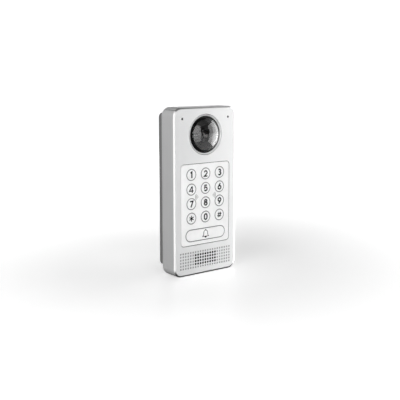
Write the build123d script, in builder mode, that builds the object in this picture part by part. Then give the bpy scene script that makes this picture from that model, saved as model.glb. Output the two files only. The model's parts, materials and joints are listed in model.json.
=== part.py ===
"""A wall-mounted video door station: camera, keypad, bell button, speaker and wiring bay.

The frame is millimetres, +Z up. The origin is the middle of the face that rests on the wall,
+Y points into the wall and the front faces -Y. Depths are given as levels: the distance from
the wall towards the front, so the wall is level 0 and the front face is level FRONT.
"""

import os

from build123d import *

# ---- overall shape ----
WIDTH, HEIGHT, CORNER = 80.0, 173.0, 9.0
FRONT = 36.0  # level of the front face
SEAM = 18.7  # level where the casing meets the back shell
REAR = 12.0  # level of the back shell's rear face
WALL = 2.2  # thickness of the casing's side walls
SHELL_WALL = 3.7  # thickness of the back shell's side walls
FACE = 2.6  # thickness of the front face
FACE_BACK = FRONT - FACE
FLOOR = REAR + 2.0  # level of the back shell's inside floor
EDGE_WIDE, EDGE_DEEP = 1.7, 0.8  # bevel round the front face
BACK_ROUND = 5.0  # rounded rear edge of the back shell
SEAL_W, SEAL_TALL = 1.2, 1.0  # the seal in the seam
GAP = 0.2  # gap between pieces that do not touch
RUNNING = 0.1  # clearance round pieces that move or are put in

# ---- camera ----
LENS_Z = 58.4
BEZEL_R, BEZEL_GAP, BEZEL_HOLE_R, BEZEL_BACK = 20.3, 0.6, 18.9, 34.3
BEZEL_TOP, BEZEL_INNER, BEZEL_LAND = 36.2, 34.9, 0.4  # the ring slopes down from a narrow land
DOME_R, DOME_WALL, DOME_APEX, DOME_BALL_R = 16.9, 1.5, 41.8, 29.0
DOME_FLANGE_R, DOME_FLANGE = 20.2, 1.4
SEAL_THICK = 0.5
CAMERA_SEAT = FACE_BACK - SEAL_THICK - DOME_FLANGE
BRACKET_PLATE = 1.5
BRACKET_PLATE_W, BRACKET_PLATE_R, LEG_R = 41.0, 3.0, 2.0
BAFFLE_R, BAFFLE_TOP, BAFFLE_STEPS, BAFFLE_RIM, BAFFLE_FLOOR = 15.2, 35.2, 6, 1.0, 0.8
BARREL_R, BARREL_TOP, BARREL_GAP, BARREL_EDGE, APERTURE_R = 7.2, 37.0, 0.4, 0.8, 3.4
MOUNT_W, MOUNT_TOP, MOUNT_ROOF, MOUNT_HOLLOW = 18.0, 25.0, 1.0, 5.5
LENS_R, LENS_BACK, LENS_APEX, LENS_EDGE = 5.2, 34.0, 36.8, 35.0
CAMERA_BOARD, CAMERA_BOARD_R, CAMERA_BOARD_LEVEL = 36.0, 1.5, 19.4
RIBBON_X, RIBBON_THICK, RIBBON_PLUG_X, RIBBON_PLUG_L, RIBBON_PLUG_TALL = 4.0, 0.3, 5.0, 4.0, 1.6

# ---- keypad ----
PAD_W, PAD_H, PAD_R, PAD_Z = 61.9, 83.8, 3.3, -12.85
PAD_GAP, PANEL_THICK, PANEL_EDGE, LEDGE = 0.6, 1.2, 0.2, 3.0
PANEL_BACK = FRONT - PANEL_THICK
KEY_X, KEY_TOP_Z, KEY_PITCH = 18.2, 18.5, 15.0
KEY_R, KEY_PROUD, KEY_EDGE = 5.2, 0.25, 0.15
RING_WIDTH = 0.8  # width of the lit ring
FLANGE_EXTRA, FLANGE_THICK = 1.3, 0.8
BELL_Z, BELL_LENGTH, BELL_R = -44.55, 49.6, 5.6
GUIDE_THICK = 1.2
GUIDE_BACK = PANEL_BACK - GUIDE_THICK
KEY_BACK = GUIDE_BACK - FLANGE_THICK
BOARD_THICK, KEYPAD_BOARD_LEVEL, KEYPAD_BOARD_W = 1.2, 28.0, 55.2
KEYPAD_BOARD_TOP = KEYPAD_BOARD_LEVEL + BOARD_THICK
KEYPAD_BOARD_LOW, KEYPAD_BOARD_HIGH = -58.5, 33.0
SWITCH_W, SWITCH_TALL, SWITCH_EDGE, STEM_R, STEM_TIP = 6.0, 1.8, 0.4, 1.1, 30.4
BELL_STEM_X = 13.0
LED_X, LED_W, LED_L, LED_TALL = 4.6, 0.9, 1.7, 0.7
COIL_X, COIL_Z, COIL_MIDDLE, COIL_TURNS, TRACK_PITCH = 25.0, 18.0, -8.0, 4, 1.0
TRACK_W, TRACK_THICK = 0.5, 0.15

# ---- speaker ----
HOLE_PITCH, HOLE_R, HOLE_COLUMNS, HOLE_ROWS = 3.18, 1.2, 21, 6
OPEN_COLUMNS, OPEN_ROWS = 9, 4  # the holes in the middle go right through
DIMPLE_R, DIMPLE = 1.05, 0.5  # the blind holes at the sides
GRILLE_BACK = FRONT - 0.8  # the face is thinner behind the open holes
MESH_W, MESH_H, MESH_R, MESH_THICK = 28.6, 13.1, 2.0, 0.4
SPEAKER_Z, SPEAKER_L, SPEAKER_H, SPEAKER_RIM, RIM_THICK = -70.4, 36.0, 20.0, 2.0, 1.4
SPEAKER_SEAL, SPEAKER_BACK = 0.8, 26.4
BASKET_INSET, BASKET_WALL, BASKET_FLOOR, BASKET_HOLE_L, BASKET_HOLE_H = 1.0, 2.0, 1.2, 12.0, 11.0
CONE_THICK, CONE_CAP_R, CONE_CAP_TOP_R, CONE_CAP_TALL = 0.4, 5.0, 4.0, 1.3
MAGNET_R, MAGNET_BACK, MAGNET_EDGE = 7.5, 22.4, 0.5
CLAMP_X, CLAMP_W, CLAMP_H, CLAMP_END_R, CLAMP_MIDDLE_R, CLAMP_THICK = 23.5, 53.0, 7.0, 2.5, 11.0, 1.2

# ---- microphone and light sensor ----
PINHOLE_X, PINHOLE_Z, PINHOLE_R = 29.2, 75.3, 1.25
SOCKET_R, SOCKET_BACK, SOCKET_WALL = 4.3, 29.4, 1.0
BOOT_BACK, BOOT_SKIN = SOCKET_BACK - 0.8, 1.0
MICROPHONE_R, MICROPHONE_BACK, MICROPHONE_PORT_R, PORT_DEPTH = 3.0, SOCKET_BACK + 0.2, 1.0, 0.5
SENSOR_NECK_R, SENSOR_NECK, SENSOR_TOP = 2.4, 1.6, FRONT - 0.6

# ---- wiring bay in the back shell ----
BAY_X, BAY_WALL = 25.0, 1.6
BAY_LOW, BAY_STEP, BAY_HIGH = -56.0, -34.0, 4.0
BAY_SHALLOW, BAY_DEEP = 17.0, 23.8  # levels of the two floors
JACK_W, JACK_L, JACK_H, JACK_X = 16.0, 21.0, 11.5, -14.0
JACK_BACK, JACK_MOUTH, JACK_FLOOR = 12.3, -34.6, 2.0
PLUG_X, PLUG_TALL, PLUG_L, LATCH_X, LATCH_TALL, LATCH_L = 5.9, 7.0, 14.0, 3.1, 1.6, 9.0
TERMINAL_L, TERMINAL_W, TERMINAL_X, TERMINAL_ZS = 22.9, 7.2, 11.5, (-24.0, -8.0)
TERMINAL_WAYS, TERMINAL_PITCH, TERMINAL_BACK = 6, 3.81, 13.0
HEADER_WALL, HEADER_DEEP, PLUG_HEAD, PLUG_HEAD_EXTRA = 0.7, 6.0, 6.5, 2.0
WIRE_Z, WIRE_R, CLAMP_HOLE_Z, CLAMP_HOLE_W, CLAMP_HOLE_R, WIRE_DEEP = -2.1, 1.2, 2.0, 2.7, 0.3, 4.0
MAIN_LEVEL, MAIN_THICK, MAIN_W = 21.2, 1.6, 59.0
MAIN_TOP = MAIN_LEVEL + MAIN_THICK
MAIN_LOW, MAIN_HIGH = -32.0, 34.0
PRESS_PLACES = [(-14.0, -4.0), (12.0, 22.0)]  # reset button, tamper plunger
PRESS_SWITCH_BACK = 19.8
PRESS_SWITCH_FLOOR, PRESS_TIP = MAIN_LEVEL - 0.2, MAIN_LEVEL - 0.8
RESET_R, RESET_BACK, RESET_COLLAR, COLLAR_THICK = 1.5, 16.4, 0.8, 0.6
TAMPER_R, TAMPER_BACK, TAMPER_COLLAR, TAMPER_COLLAR_TOP = 2.0, 2.0, 1.4, FLOOR + 1.2
TAMPER_SHOULDER = PRESS_SWITCH_BACK - 1.0
LEAD_R, LEAD_LEVEL, LEAD_X, LEAD_BEND = 0.9, 24.0, 28.2, 1.6
SOCKET_PLACES = [(27.2, -20.0), (-27.2, 24.0), (27.2, 24.0)]
SOCKET_W, SOCKET_H, SOCKET_TALL = 4.2, 4.0, 3.2
LEAD_START_X, LEAD_START_Z = 11.5, -65.0
PROCESSOR_W, PROCESSOR_TALL, PROCESSOR_Z, PROCESSOR_R = 14.0, 1.2, 12.0, 0.5
CAN_LEFT, CAN_RIGHT, CAN_LOW, CAN_HIGH = 10.0, 26.0, 4.0, 19.0
CAN_TALL, CAN_SKIN, CAN_ROUND, CAN_EDGE = 2.4, 0.2, 0.8, 0.4
CAPACITORS = [(5.0, -10.0), (13.0, -10.0), (21.0, -10.0)]
CAPACITOR_R, CAPACITOR_TALL, CAPACITOR_FOOT, CAPACITOR_BASE = 3.0, 4.8, 0.8, 6.4
LINK_X, LINK_LOW, LINK_HIGH, LINK_JOIN, LINK_GROOVE = 12.0, 21.5, 26.5, 2.4, 0.6

# ---- wall bracket ----
BRACKET_W, BRACKET_H, BRACKET_R = 65.7, 160.0, 4.5
BRACKET_WALL, BRACKET_BASE = 2.0, 2.0
ENTRY_W, ENTRY_H, ENTRY_Z = 40.0, 44.0, -28.0
WALL_SCREWS = [(x, z) for x in (-24.0, 24.0) for z in (-66.0, 66.0)]
WALL_SCREW_R, WALL_PAD_R, WALL_PAD = 2.25, 5.0, 2.0
ENTRY_RIM, ENTRY_RIM_TALL, ENTRY_R = 2.0, 1.5, 3.0
HOOK_X, HOOK_Z, HOOK_W, HOOK_THICK = 10.0, 72.0, 7.6, 2.0  # HOOK_Z is the hook's upper face
HOOK_LIP = 1.8
LUG_X, LUG_W, LUG_HIGH, LUG_FRONT = 18.0, 8.0, -75.5, 18.2
LOCK_LEVEL, LOCK_R, LOCK_HEAD_R, LOCK_HEAD, LOCK_SEAT, LOCK_LENGTH = 16.0, 1.4, 2.0, 1.6, 2.5, 7.6
LOCK_BORE_R, LOCK_THREAD, KEY_SOCKET_R, KEY_SOCKET = 2.2, 4.0, 1.1, 1.0

# ---- screws ----
CASE_SCREWS = [(x, z) for x in (-33.2, 33.2) for z in (-66.0, 4.0, 62.0)]
BOSS_R, CASE_SCREW_R, CASE_HEAD_R, CASE_HEAD, CASE_HEAD_SEAT = 3.2, 1.5, 2.7, 2.0, 14.4
CASE_SCREW_IN, CASE_HOLE = 7.0, 8.0  # lengths beyond the seam
CASE_CROSS_L, CASE_CROSS_W, CASE_CROSS = 3.2, 0.6, 1.2
SMALL_R, SMALL_LENGTH, SMALL_HOLE, SMALL_HEAD_R, SMALL_HEAD = 1.0, 4.4, 3.3, 1.9, 1.3
SMALL_CROSS_L, SMALL_CROSS_W, SMALL_CROSS = 2.2, 0.45, 0.8
POST_R = 2.4
KEYPAD_SCREWS = [(x, z) for x in (-22.0, 22.0) for z in (-56.0, 30.5)]
CAMERA_SCREWS = [(x, LENS_Z + z) for x in (-17.3, 17.3) for z in (-17.3, 17.3)]
CAMERA_LEGS = [(x, LENS_Z + z) for x in (-14.0, 14.0) for z in (-14.0, 14.0)]
CLAMP_SCREWS = [(-CLAMP_X, SPEAKER_Z), (CLAMP_X, SPEAKER_Z)]
MAIN_SCREWS = [(-24.5, 31.0), (24.5, 31.0), (-27.4, -12.0), (27.4, -12.0)]

KEY_NAMES = ("1", "2", "3", "4", "5", "6", "7", "8", "9", "star", "0", "hash")
KEY_PLACES = {
    name: ((i % 3 - 1) * KEY_X, KEY_TOP_Z - i // 3 * KEY_PITCH)
    for i, name in enumerate(KEY_NAMES)
}
BELL_STEMS = [(-BELL_STEM_X, BELL_Z), (BELL_STEM_X, BELL_Z)]
SWITCH_PLACES = [*KEY_PLACES.values(), *BELL_STEMS]


def level(depth):
    """The plane that faces the front at that distance from the wall; its own axes are X and Z."""
    return Plane.XZ.offset(depth)


def section(x=0.0, z=0.0):
    """A plane through a line along the depth at (x, z): its own axes are radius and level."""
    return Plane(origin=(x, 0, z), x_dir=(1, 0, 0), z_dir=(0, 0, -1))


def depth_axis(x=0.0, z=0.0):
    """The line along the depth at (x, z)."""
    return Axis((x, 0, z), (0, -1, 0))


def block(low, high, x_from, x_to, z_from, z_to, mode=Mode.ADD):
    """A plain block between two levels, in the part being built."""
    with BuildSketch(level(low)) as outline:
        with Locations(((x_from + x_to) / 2, (z_from + z_to) / 2)):
            Rectangle(x_to - x_from, z_to - z_from)
    extrude(outline.sketch, amount=high - low, mode=mode)


def discs(low, high, places, radius, mode=Mode.ADD):
    """Equal round pegs or holes between two levels, in the part being built."""
    with BuildSketch(level(low)) as outline:
        with Locations(*places):
            Circle(radius)
    extrude(outline.sketch, amount=high - low, mode=mode)


def slot_ring(low, high, length, height, inner_length, inner_height, z):
    """A flat ring with round ends between two levels, in the part being built."""
    with BuildSketch(level(low)) as outline:
        with Locations((0, z)):
            SlotOverall(length, height)
            SlotOverall(inner_length, inner_height, mode=Mode.SUBTRACT)
    extrude(outline.sketch, amount=high - low)


def turned(points, x=0.0, z=0.0):
    """A turned piece from its outline of (radius, level) points, in the part being built."""
    with BuildSketch(section(x, z)) as outline:
        with BuildLine():
            Polyline(*points, close=True)
        make_face()
    revolve(outline.sketch, axis=depth_axis(x, z))


os.makedirs("parts", exist_ok=True)

# ======== casing and keypad panel ========

grille = [
    ((column - (HOLE_COLUMNS - 1) / 2) * HOLE_PITCH, SPEAKER_Z + (row - (HOLE_ROWS - 1) / 2) * HOLE_PITCH)
    for column in range(HOLE_COLUMNS)
    for row in range(HOLE_ROWS)
]
open_x, open_z = OPEN_COLUMNS / 2 * HOLE_PITCH, OPEN_ROWS / 2 * HOLE_PITCH
open_holes = [(x, z) for x, z in grille if abs(x) < open_x and abs(z - SPEAKER_Z) < open_z]
dimples = [place for place in grille if place not in open_holes]
pinholes = [(-PINHOLE_X, PINHOLE_Z), (PINHOLE_X, PINHOLE_Z)]

# The cast front casing: face, side walls, screw bosses and every opening in the front.
with BuildPart() as front_casing:
    with BuildSketch(level(SEAM)):
        RectangleRounded(WIDTH, HEIGHT, CORNER)
    extrude(amount=FRONT - SEAM)
    face = front_casing.faces().sort_by(Axis.Y)[0]
    chamfer(face.edges(), length=EDGE_WIDE, length2=EDGE_DEEP, reference=face)
    with BuildSketch(level(SEAM)):
        RectangleRounded(WIDTH - 2 * WALL, HEIGHT - 2 * WALL, CORNER - WALL)
    extrude(amount=FACE_BACK - SEAM, mode=Mode.SUBTRACT)
    discs(SEAM, FACE_BACK, CASE_SCREWS, BOSS_R)
    discs(KEYPAD_BOARD_TOP, FACE_BACK, KEYPAD_SCREWS, POST_R - GAP)
    discs(CAMERA_SEAT, FACE_BACK, CAMERA_SCREWS, POST_R)
    discs(SPEAKER_BACK, FACE_BACK, CLAMP_SCREWS, POST_R)
    discs(SOCKET_BACK, FACE_BACK, pinholes, SOCKET_R + SOCKET_WALL)
    discs(SOCKET_BACK, FACE_BACK, pinholes, SOCKET_R, Mode.SUBTRACT)
    with BuildSketch(level(PANEL_BACK)):
        with Locations((0, PAD_Z)):
            RectangleRounded(PAD_W + 2 * PAD_GAP, PAD_H + 2 * PAD_GAP, PAD_R + PAD_GAP)
    extrude(amount=PANEL_THICK, mode=Mode.SUBTRACT)
    with BuildSketch(level(FACE_BACK)):
        with Locations((0, PAD_Z)):
            RectangleRounded(PAD_W - 2 * LEDGE, PAD_H - 2 * LEDGE, PAD_R)
    extrude(amount=FACE, mode=Mode.SUBTRACT)
    discs(BEZEL_BACK, FRONT, [(0, LENS_Z)], BEZEL_R + BEZEL_GAP, Mode.SUBTRACT)
    discs(FACE_BACK, FRONT, [(0, LENS_Z)], BEZEL_HOLE_R, Mode.SUBTRACT)
    discs(FACE_BACK, FRONT, pinholes, PINHOLE_R, Mode.SUBTRACT)
    with BuildSketch(level(FACE_BACK)):
        with Locations((0, SPEAKER_Z)):
            RectangleRounded(MESH_W + 2 * GAP, MESH_H + 2 * GAP, MESH_R + GAP)
    extrude(amount=GRILLE_BACK - FACE_BACK, mode=Mode.SUBTRACT)
    discs(GRILLE_BACK, FRONT, open_holes, HOLE_R, Mode.SUBTRACT)
    discs(FRONT - DIMPLE, FRONT, dimples, DIMPLE_R, Mode.SUBTRACT)
    discs(SEAM, SEAM + CASE_HOLE, CASE_SCREWS, CASE_SCREW_R, Mode.SUBTRACT)
    discs(KEYPAD_BOARD_TOP, KEYPAD_BOARD_TOP + SMALL_HOLE, KEYPAD_SCREWS, SMALL_R, Mode.SUBTRACT)
    discs(CAMERA_SEAT, CAMERA_SEAT + SMALL_HOLE, CAMERA_SCREWS, SMALL_R, Mode.SUBTRACT)
    discs(SPEAKER_BACK, SPEAKER_BACK + SMALL_HOLE, CLAMP_SCREWS, SMALL_R, Mode.SUBTRACT)
front_casing.part.label = "front_casing"
export_step(front_casing.part, "parts/front_casing.step")

# The thin panel round the keys, let into the face with a narrow groove round it.
with BuildPart() as keypad_panel:
    with BuildSketch(level(PANEL_BACK)):
        with Locations((0, PAD_Z)):
            RectangleRounded(PAD_W, PAD_H, PAD_R)
        with Locations(*KEY_PLACES.values()):
            Circle(KEY_R + RUNNING + RING_WIDTH + RUNNING, mode=Mode.SUBTRACT)
        with Locations((0, BELL_Z)):
            ring = RING_WIDTH + 2 * RUNNING
            SlotOverall(BELL_LENGTH + 2 * ring, 2 * (BELL_R + ring), mode=Mode.SUBTRACT)
    extrude(amount=PANEL_THICK)
    chamfer(keypad_panel.faces().sort_by(Axis.Y)[0].outer_wire().edges(), PANEL_EDGE)
keypad_panel.part.label = "keypad_panel"
export_step(keypad_panel.part, "parts/keypad_panel.step")

# The clear light guide behind the panel: a plate with a collar round every key.
with BuildPart() as key_light_guide:
    with BuildSketch(level(GUIDE_BACK)):
        with Locations((0, PAD_Z)):
            RectangleRounded(PAD_W - 2 * LEDGE - 2 * GAP, PAD_H - 2 * LEDGE - 2 * GAP, PAD_R - GAP)
    extrude(amount=GUIDE_THICK)
    discs(PANEL_BACK, FRONT, KEY_PLACES.values(), KEY_R + RUNNING + RING_WIDTH)
    with BuildSketch(level(PANEL_BACK)):
        with Locations((0, BELL_Z)):
            ring = RING_WIDTH + RUNNING
            SlotOverall(BELL_LENGTH + 2 * ring, 2 * (BELL_R + ring))
    extrude(amount=PANEL_THICK)
    discs(GUIDE_BACK, FRONT, KEY_PLACES.values(), KEY_R + RUNNING, Mode.SUBTRACT)
    with BuildSketch(level(GUIDE_BACK)):
        with Locations((0, BELL_Z)):
            SlotOverall(BELL_LENGTH + 2 * RUNNING, 2 * (BELL_R + RUNNING))
    extrude(amount=FRONT - GUIDE_BACK, mode=Mode.SUBTRACT)
key_light_guide.part.label = "key_light_guide"
export_step(key_light_guide.part, "parts/key_light_guide.step")

# ======== keys ========

# Each key is a cap with a flange behind the light guide and a stem that enters its switch.
for name, place in KEY_PLACES.items():
    with BuildPart() as key:
        discs(KEY_BACK, GUIDE_BACK, [place], KEY_R + FLANGE_EXTRA)
        discs(GUIDE_BACK, FRONT + KEY_PROUD, [place], KEY_R)
        fillet(key.edges().group_by(Axis.Y)[0], KEY_EDGE)
        discs(STEM_TIP, KEY_BACK, [place], STEM_R)
    key.part.label = f"key_{name}"
    export_step(key.part, f"parts/key_{name}.step")

# The bell key is one long cap over two switches.
with BuildPart() as bell_key:
    with BuildSketch(level(KEY_BACK)):
        with Locations((0, BELL_Z)):
            SlotOverall(BELL_LENGTH + 2 * FLANGE_EXTRA, 2 * (BELL_R + FLANGE_EXTRA))
    extrude(amount=FLANGE_THICK)
    with BuildSketch(level(GUIDE_BACK)):
        with Locations((0, BELL_Z)):
            SlotOverall(BELL_LENGTH, 2 * BELL_R)
    extrude(amount=FRONT + KEY_PROUD - GUIDE_BACK)
    fillet(bell_key.edges().group_by(Axis.Y)[0], KEY_EDGE)
    discs(STEM_TIP, KEY_BACK, BELL_STEMS, STEM_R)
bell_key.part.label = "bell_key"
export_step(bell_key.part, "parts/bell_key.step")

# The board behind the keys, screwed to posts in the casing.
with BuildPart() as keypad_board:
    block(
        KEYPAD_BOARD_LEVEL,
        KEYPAD_BOARD_TOP,
        -KEYPAD_BOARD_W / 2,
        KEYPAD_BOARD_W / 2,
        KEYPAD_BOARD_LOW,
        KEYPAD_BOARD_HIGH,
    )
    discs(KEYPAD_BOARD_LEVEL, KEYPAD_BOARD_TOP, KEYPAD_SCREWS, SMALL_R + RUNNING, Mode.SUBTRACT)
keypad_board.part.label = "keypad_board"
export_step(keypad_board.part, "parts/keypad_board.step")

# One switch body behind every key stem, with a bore that the stem moves in.
with BuildPart() as key_switches:
    with BuildSketch(level(KEYPAD_BOARD_TOP)):
        with Locations(*SWITCH_PLACES):
            RectangleRounded(SWITCH_W, SWITCH_W, SWITCH_EDGE)
    extrude(amount=SWITCH_TALL)
    discs(
        KEYPAD_BOARD_TOP + SWITCH_EDGE,
        KEYPAD_BOARD_TOP + SWITCH_TALL,
        SWITCH_PLACES,
        STEM_R + RUNNING,
        Mode.SUBTRACT,
    )
key_switches.part.label = "key_switches"
export_step(key_switches.part, "parts/key_switches.step")

# Two small lamps beside every switch light the rings.
with BuildPart() as backlights:
    with BuildSketch(level(KEYPAD_BOARD_TOP)):
        with Locations(*[(x + side, z) for x, z in SWITCH_PLACES for side in (-LED_X, LED_X)]):
            Rectangle(LED_W, LED_L)
    extrude(amount=LED_TALL)
backlights.part.label = "backlights"
export_step(backlights.part, "parts/backlights.step")

# The flat card-reader coil on the rear of the keypad board.
coil = []
for turn in range(COIL_TURNS):
    coil_x, coil_z = COIL_X - turn * TRACK_PITCH, COIL_Z - turn * TRACK_PITCH
    coil += [(-coil_x, coil_z), (coil_x, coil_z), (coil_x, -coil_z), (-coil_x + TRACK_PITCH, -coil_z)]
with BuildPart() as rfid_antenna:
    with BuildSketch(level(KEYPAD_BOARD_LEVEL - TRACK_THICK)):
        with Locations((0, COIL_MIDDLE)):
            with BuildLine():
                Polyline(*coil)
            trace(line_width=TRACK_W)
    extrude(amount=TRACK_THICK)
rfid_antenna.part.label = "rfid_antenna"
export_step(rfid_antenna.part, "parts/rfid_antenna.step")

# ======== camera ========


def dome_level(ball_radius, radius):
    """Level of the dome's surface at a distance from its middle."""
    return DOME_APEX - DOME_BALL_R + (ball_radius**2 - radius**2) ** 0.5


# The bright ring round the camera, sloping down towards the dome.
with BuildPart() as lens_bezel:
    turned(
        [
            (BEZEL_HOLE_R, BEZEL_BACK),
            (BEZEL_R, BEZEL_BACK),
            (BEZEL_R, BEZEL_TOP),
            (BEZEL_R - BEZEL_LAND, BEZEL_TOP),
            (BEZEL_HOLE_R, BEZEL_INNER),
        ],
        z=LENS_Z,
    )
lens_bezel.part.label = "lens_bezel"
export_step(lens_bezel.part, "parts/lens_bezel.step")

# The black ring between the bright ring and the dome.
with BuildPart() as dome_ring:
    dome_ring_r = BEZEL_HOLE_R - RUNNING
    turned(
        [
            (DOME_R + RUNNING, CAMERA_SEAT + DOME_FLANGE),
            (dome_ring_r, CAMERA_SEAT + DOME_FLANGE),
            (dome_ring_r, BEZEL_INNER),
            (DOME_R + RUNNING, BEZEL_INNER),
        ],
        z=LENS_Z,
    )
dome_ring.part.label = "dome_ring"
export_step(dome_ring.part, "parts/dome_ring.step")

# The clear dome with the flange that holds it behind the face.
with BuildPart() as dome_cover:
    inner_r, inner_ball = DOME_R - DOME_WALL, DOME_BALL_R - DOME_WALL
    with BuildSketch(section(z=LENS_Z)):
        with BuildLine():
            ThreePointArc(
                (0, dome_level(inner_ball, 0)),
                (inner_r / 2, dome_level(inner_ball, inner_r / 2)),
                (inner_r, dome_level(inner_ball, inner_r)),
            )
            Polyline(
                (inner_r, dome_level(inner_ball, inner_r)),
                (inner_r, CAMERA_SEAT),
                (DOME_FLANGE_R, CAMERA_SEAT),
                (DOME_FLANGE_R, CAMERA_SEAT + DOME_FLANGE),
                (DOME_R, CAMERA_SEAT + DOME_FLANGE),
                (DOME_R, dome_level(DOME_BALL_R, DOME_R)),
            )
            ThreePointArc(
                (DOME_R, dome_level(DOME_BALL_R, DOME_R)),
                (DOME_R / 2, dome_level(DOME_BALL_R, DOME_R / 2)),
                (0, DOME_APEX),
            )
            Line((0, DOME_APEX), (0, dome_level(inner_ball, 0)))
        make_face()
    revolve(axis=depth_axis(z=LENS_Z))
dome_cover.part.label = "dome_cover"
export_step(dome_cover.part, "parts/dome_cover.step")

# The flat seal between the dome's flange and the casing.
with BuildPart() as dome_seal:
    discs(FACE_BACK - SEAL_THICK, FACE_BACK, [(0, LENS_Z)], DOME_FLANGE_R)
    discs(FACE_BACK - SEAL_THICK, FACE_BACK, [(0, LENS_Z)], BEZEL_HOLE_R, Mode.SUBTRACT)
dome_seal.part.label = "dome_seal"
export_step(dome_seal.part, "parts/dome_seal.step")

# The black stepped funnel inside the dome.
funnel_r = BARREL_R + BARREL_GAP
step_wide = (BAFFLE_R - BAFFLE_RIM - funnel_r) / BAFFLE_STEPS
step_deep = (BAFFLE_TOP - CAMERA_SEAT - BAFFLE_FLOOR) / BAFFLE_STEPS
funnel = [(funnel_r, CAMERA_SEAT), (BAFFLE_R, CAMERA_SEAT), (BAFFLE_R, BAFFLE_TOP)]
for step in range(BAFFLE_STEPS):
    step_r = BAFFLE_R - BAFFLE_RIM - step * step_wide
    funnel += [
        (step_r, BAFFLE_TOP - step * step_deep),
        (step_r, BAFFLE_TOP - (step + 1) * step_deep),
    ]
funnel.append((funnel_r, BAFFLE_TOP - BAFFLE_STEPS * step_deep))
with BuildPart() as lens_baffle:
    turned(funnel, z=LENS_Z)
lens_baffle.part.label = "lens_baffle"
export_step(lens_baffle.part, "parts/lens_baffle.step")

# The lens barrel on its square foot.
with BuildPart() as lens_barrel:
    board_top = CAMERA_BOARD_LEVEL + BOARD_THICK
    with BuildSketch(level(board_top)):
        with Locations((0, LENS_Z)):
            RectangleRounded(MOUNT_W, MOUNT_W, MOUNT_ROOF)
    extrude(amount=MOUNT_TOP - board_top)
    discs(MOUNT_TOP, BARREL_TOP, [(0, LENS_Z)], BARREL_R)
    hollow_low, hollow_high = LENS_Z - MOUNT_HOLLOW, LENS_Z + MOUNT_HOLLOW
    hollow_top = MOUNT_TOP - MOUNT_ROOF
    block(board_top, hollow_top, -MOUNT_HOLLOW, MOUNT_HOLLOW, hollow_low, hollow_high, Mode.SUBTRACT)
    discs(hollow_top, BARREL_TOP, [(0, LENS_Z)], APERTURE_R, Mode.SUBTRACT)
    discs(LENS_BACK, BARREL_TOP, [(0, LENS_Z)], LENS_R, Mode.SUBTRACT)
    chamfer(lens_barrel.faces().sort_by(Axis.Y)[0].inner_wires().edges(), BARREL_EDGE)
lens_barrel.part.label = "lens_barrel"
export_step(lens_barrel.part, "parts/lens_barrel.step")

# The domed front lens in the end of the barrel.
lens_rise = LENS_APEX - LENS_EDGE
lens_ball_r = (LENS_R**2 + lens_rise**2) / (2 * lens_rise)
lens_mid = LENS_APEX - lens_ball_r + (lens_ball_r**2 - (LENS_R / 2) ** 2) ** 0.5
with BuildPart() as front_lens:
    with BuildSketch(section(z=LENS_Z)):
        with BuildLine():
            Polyline((0, LENS_APEX), (0, LENS_BACK), (LENS_R, LENS_BACK), (LENS_R, LENS_EDGE))
            ThreePointArc((LENS_R, LENS_EDGE), (LENS_R / 2, lens_mid), (0, LENS_APEX))
        make_face()
    revolve(axis=depth_axis(z=LENS_Z))
front_lens.part.label = "front_lens"
export_step(front_lens.part, "parts/front_lens.step")

# The camera board, held on the bracket's legs.
with BuildPart() as camera_board:
    with BuildSketch(level(CAMERA_BOARD_LEVEL)):
        with Locations((0, LENS_Z)):
            RectangleRounded(CAMERA_BOARD, CAMERA_BOARD, CAMERA_BOARD_R)
    extrude(amount=BOARD_THICK)
    discs(
        CAMERA_BOARD_LEVEL,
        CAMERA_BOARD_LEVEL + BOARD_THICK,
        CAMERA_LEGS,
        SMALL_R + RUNNING,
        Mode.SUBTRACT,
    )
camera_board.part.label = "camera_board"
export_step(camera_board.part, "parts/camera_board.step")

# The bracket that clamps the dome's flange and carries the camera board on four legs.
with BuildPart() as camera_bracket:
    bracket_back = CAMERA_SEAT - BRACKET_PLATE
    with BuildSketch(level(bracket_back)):
        with Locations((0, LENS_Z)):
            RectangleRounded(BRACKET_PLATE_W, BRACKET_PLATE_W, BRACKET_PLATE_R)
            Circle(funnel_r, mode=Mode.SUBTRACT)
    extrude(amount=BRACKET_PLATE)
    discs(board_top, bracket_back, CAMERA_LEGS, LEG_R)
    discs(board_top, board_top + SMALL_HOLE, CAMERA_LEGS, SMALL_R, Mode.SUBTRACT)
    discs(bracket_back, CAMERA_SEAT, CAMERA_SCREWS, SMALL_R + RUNNING, Mode.SUBTRACT)
camera_bracket.part.label = "camera_bracket"
export_step(camera_bracket.part, "parts/camera_bracket.step")

# The ribbon between the camera board and the main board, with a plug block at each end.
with BuildPart() as camera_ribbon:
    plug_middle = RIBBON_PLUG_TALL / 2
    low_z, high_z = MAIN_HIGH - plug_middle, LENS_Z - CAMERA_BOARD / 2 + plug_middle
    with BuildSketch(Plane.YZ):
        with BuildLine():
            Spline(
                (-MAIN_TOP - plug_middle, low_z),
                (-board_top - plug_middle, high_z),
                tangents=[(0, 1), (0, 1)],
            )
        trace(line_width=RIBBON_THICK)
    extrude(amount=RIBBON_X, both=True)
    plug_low, plug_high = low_z - RIBBON_PLUG_L, high_z + RIBBON_PLUG_L
    block(MAIN_TOP, MAIN_TOP + RIBBON_PLUG_TALL, -RIBBON_PLUG_X, RIBBON_PLUG_X, plug_low, low_z)
    block(board_top, board_top + RIBBON_PLUG_TALL, -RIBBON_PLUG_X, RIBBON_PLUG_X, high_z, plug_high)
camera_ribbon.part.label = "camera_ribbon"
export_step(camera_ribbon.part, "parts/camera_ribbon.step")

# ======== speaker, microphone and light sensor ========

# The black dust mesh in a pocket behind the open holes.
with BuildPart() as speaker_mesh:
    with BuildSketch(level(GRILLE_BACK - MESH_THICK)):
        with Locations((0, SPEAKER_Z)):
            RectangleRounded(MESH_W, MESH_H, MESH_R)
    extrude(amount=MESH_THICK)
speaker_mesh.part.label = "speaker_mesh"
export_step(speaker_mesh.part, "parts/speaker_mesh.step")

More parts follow.
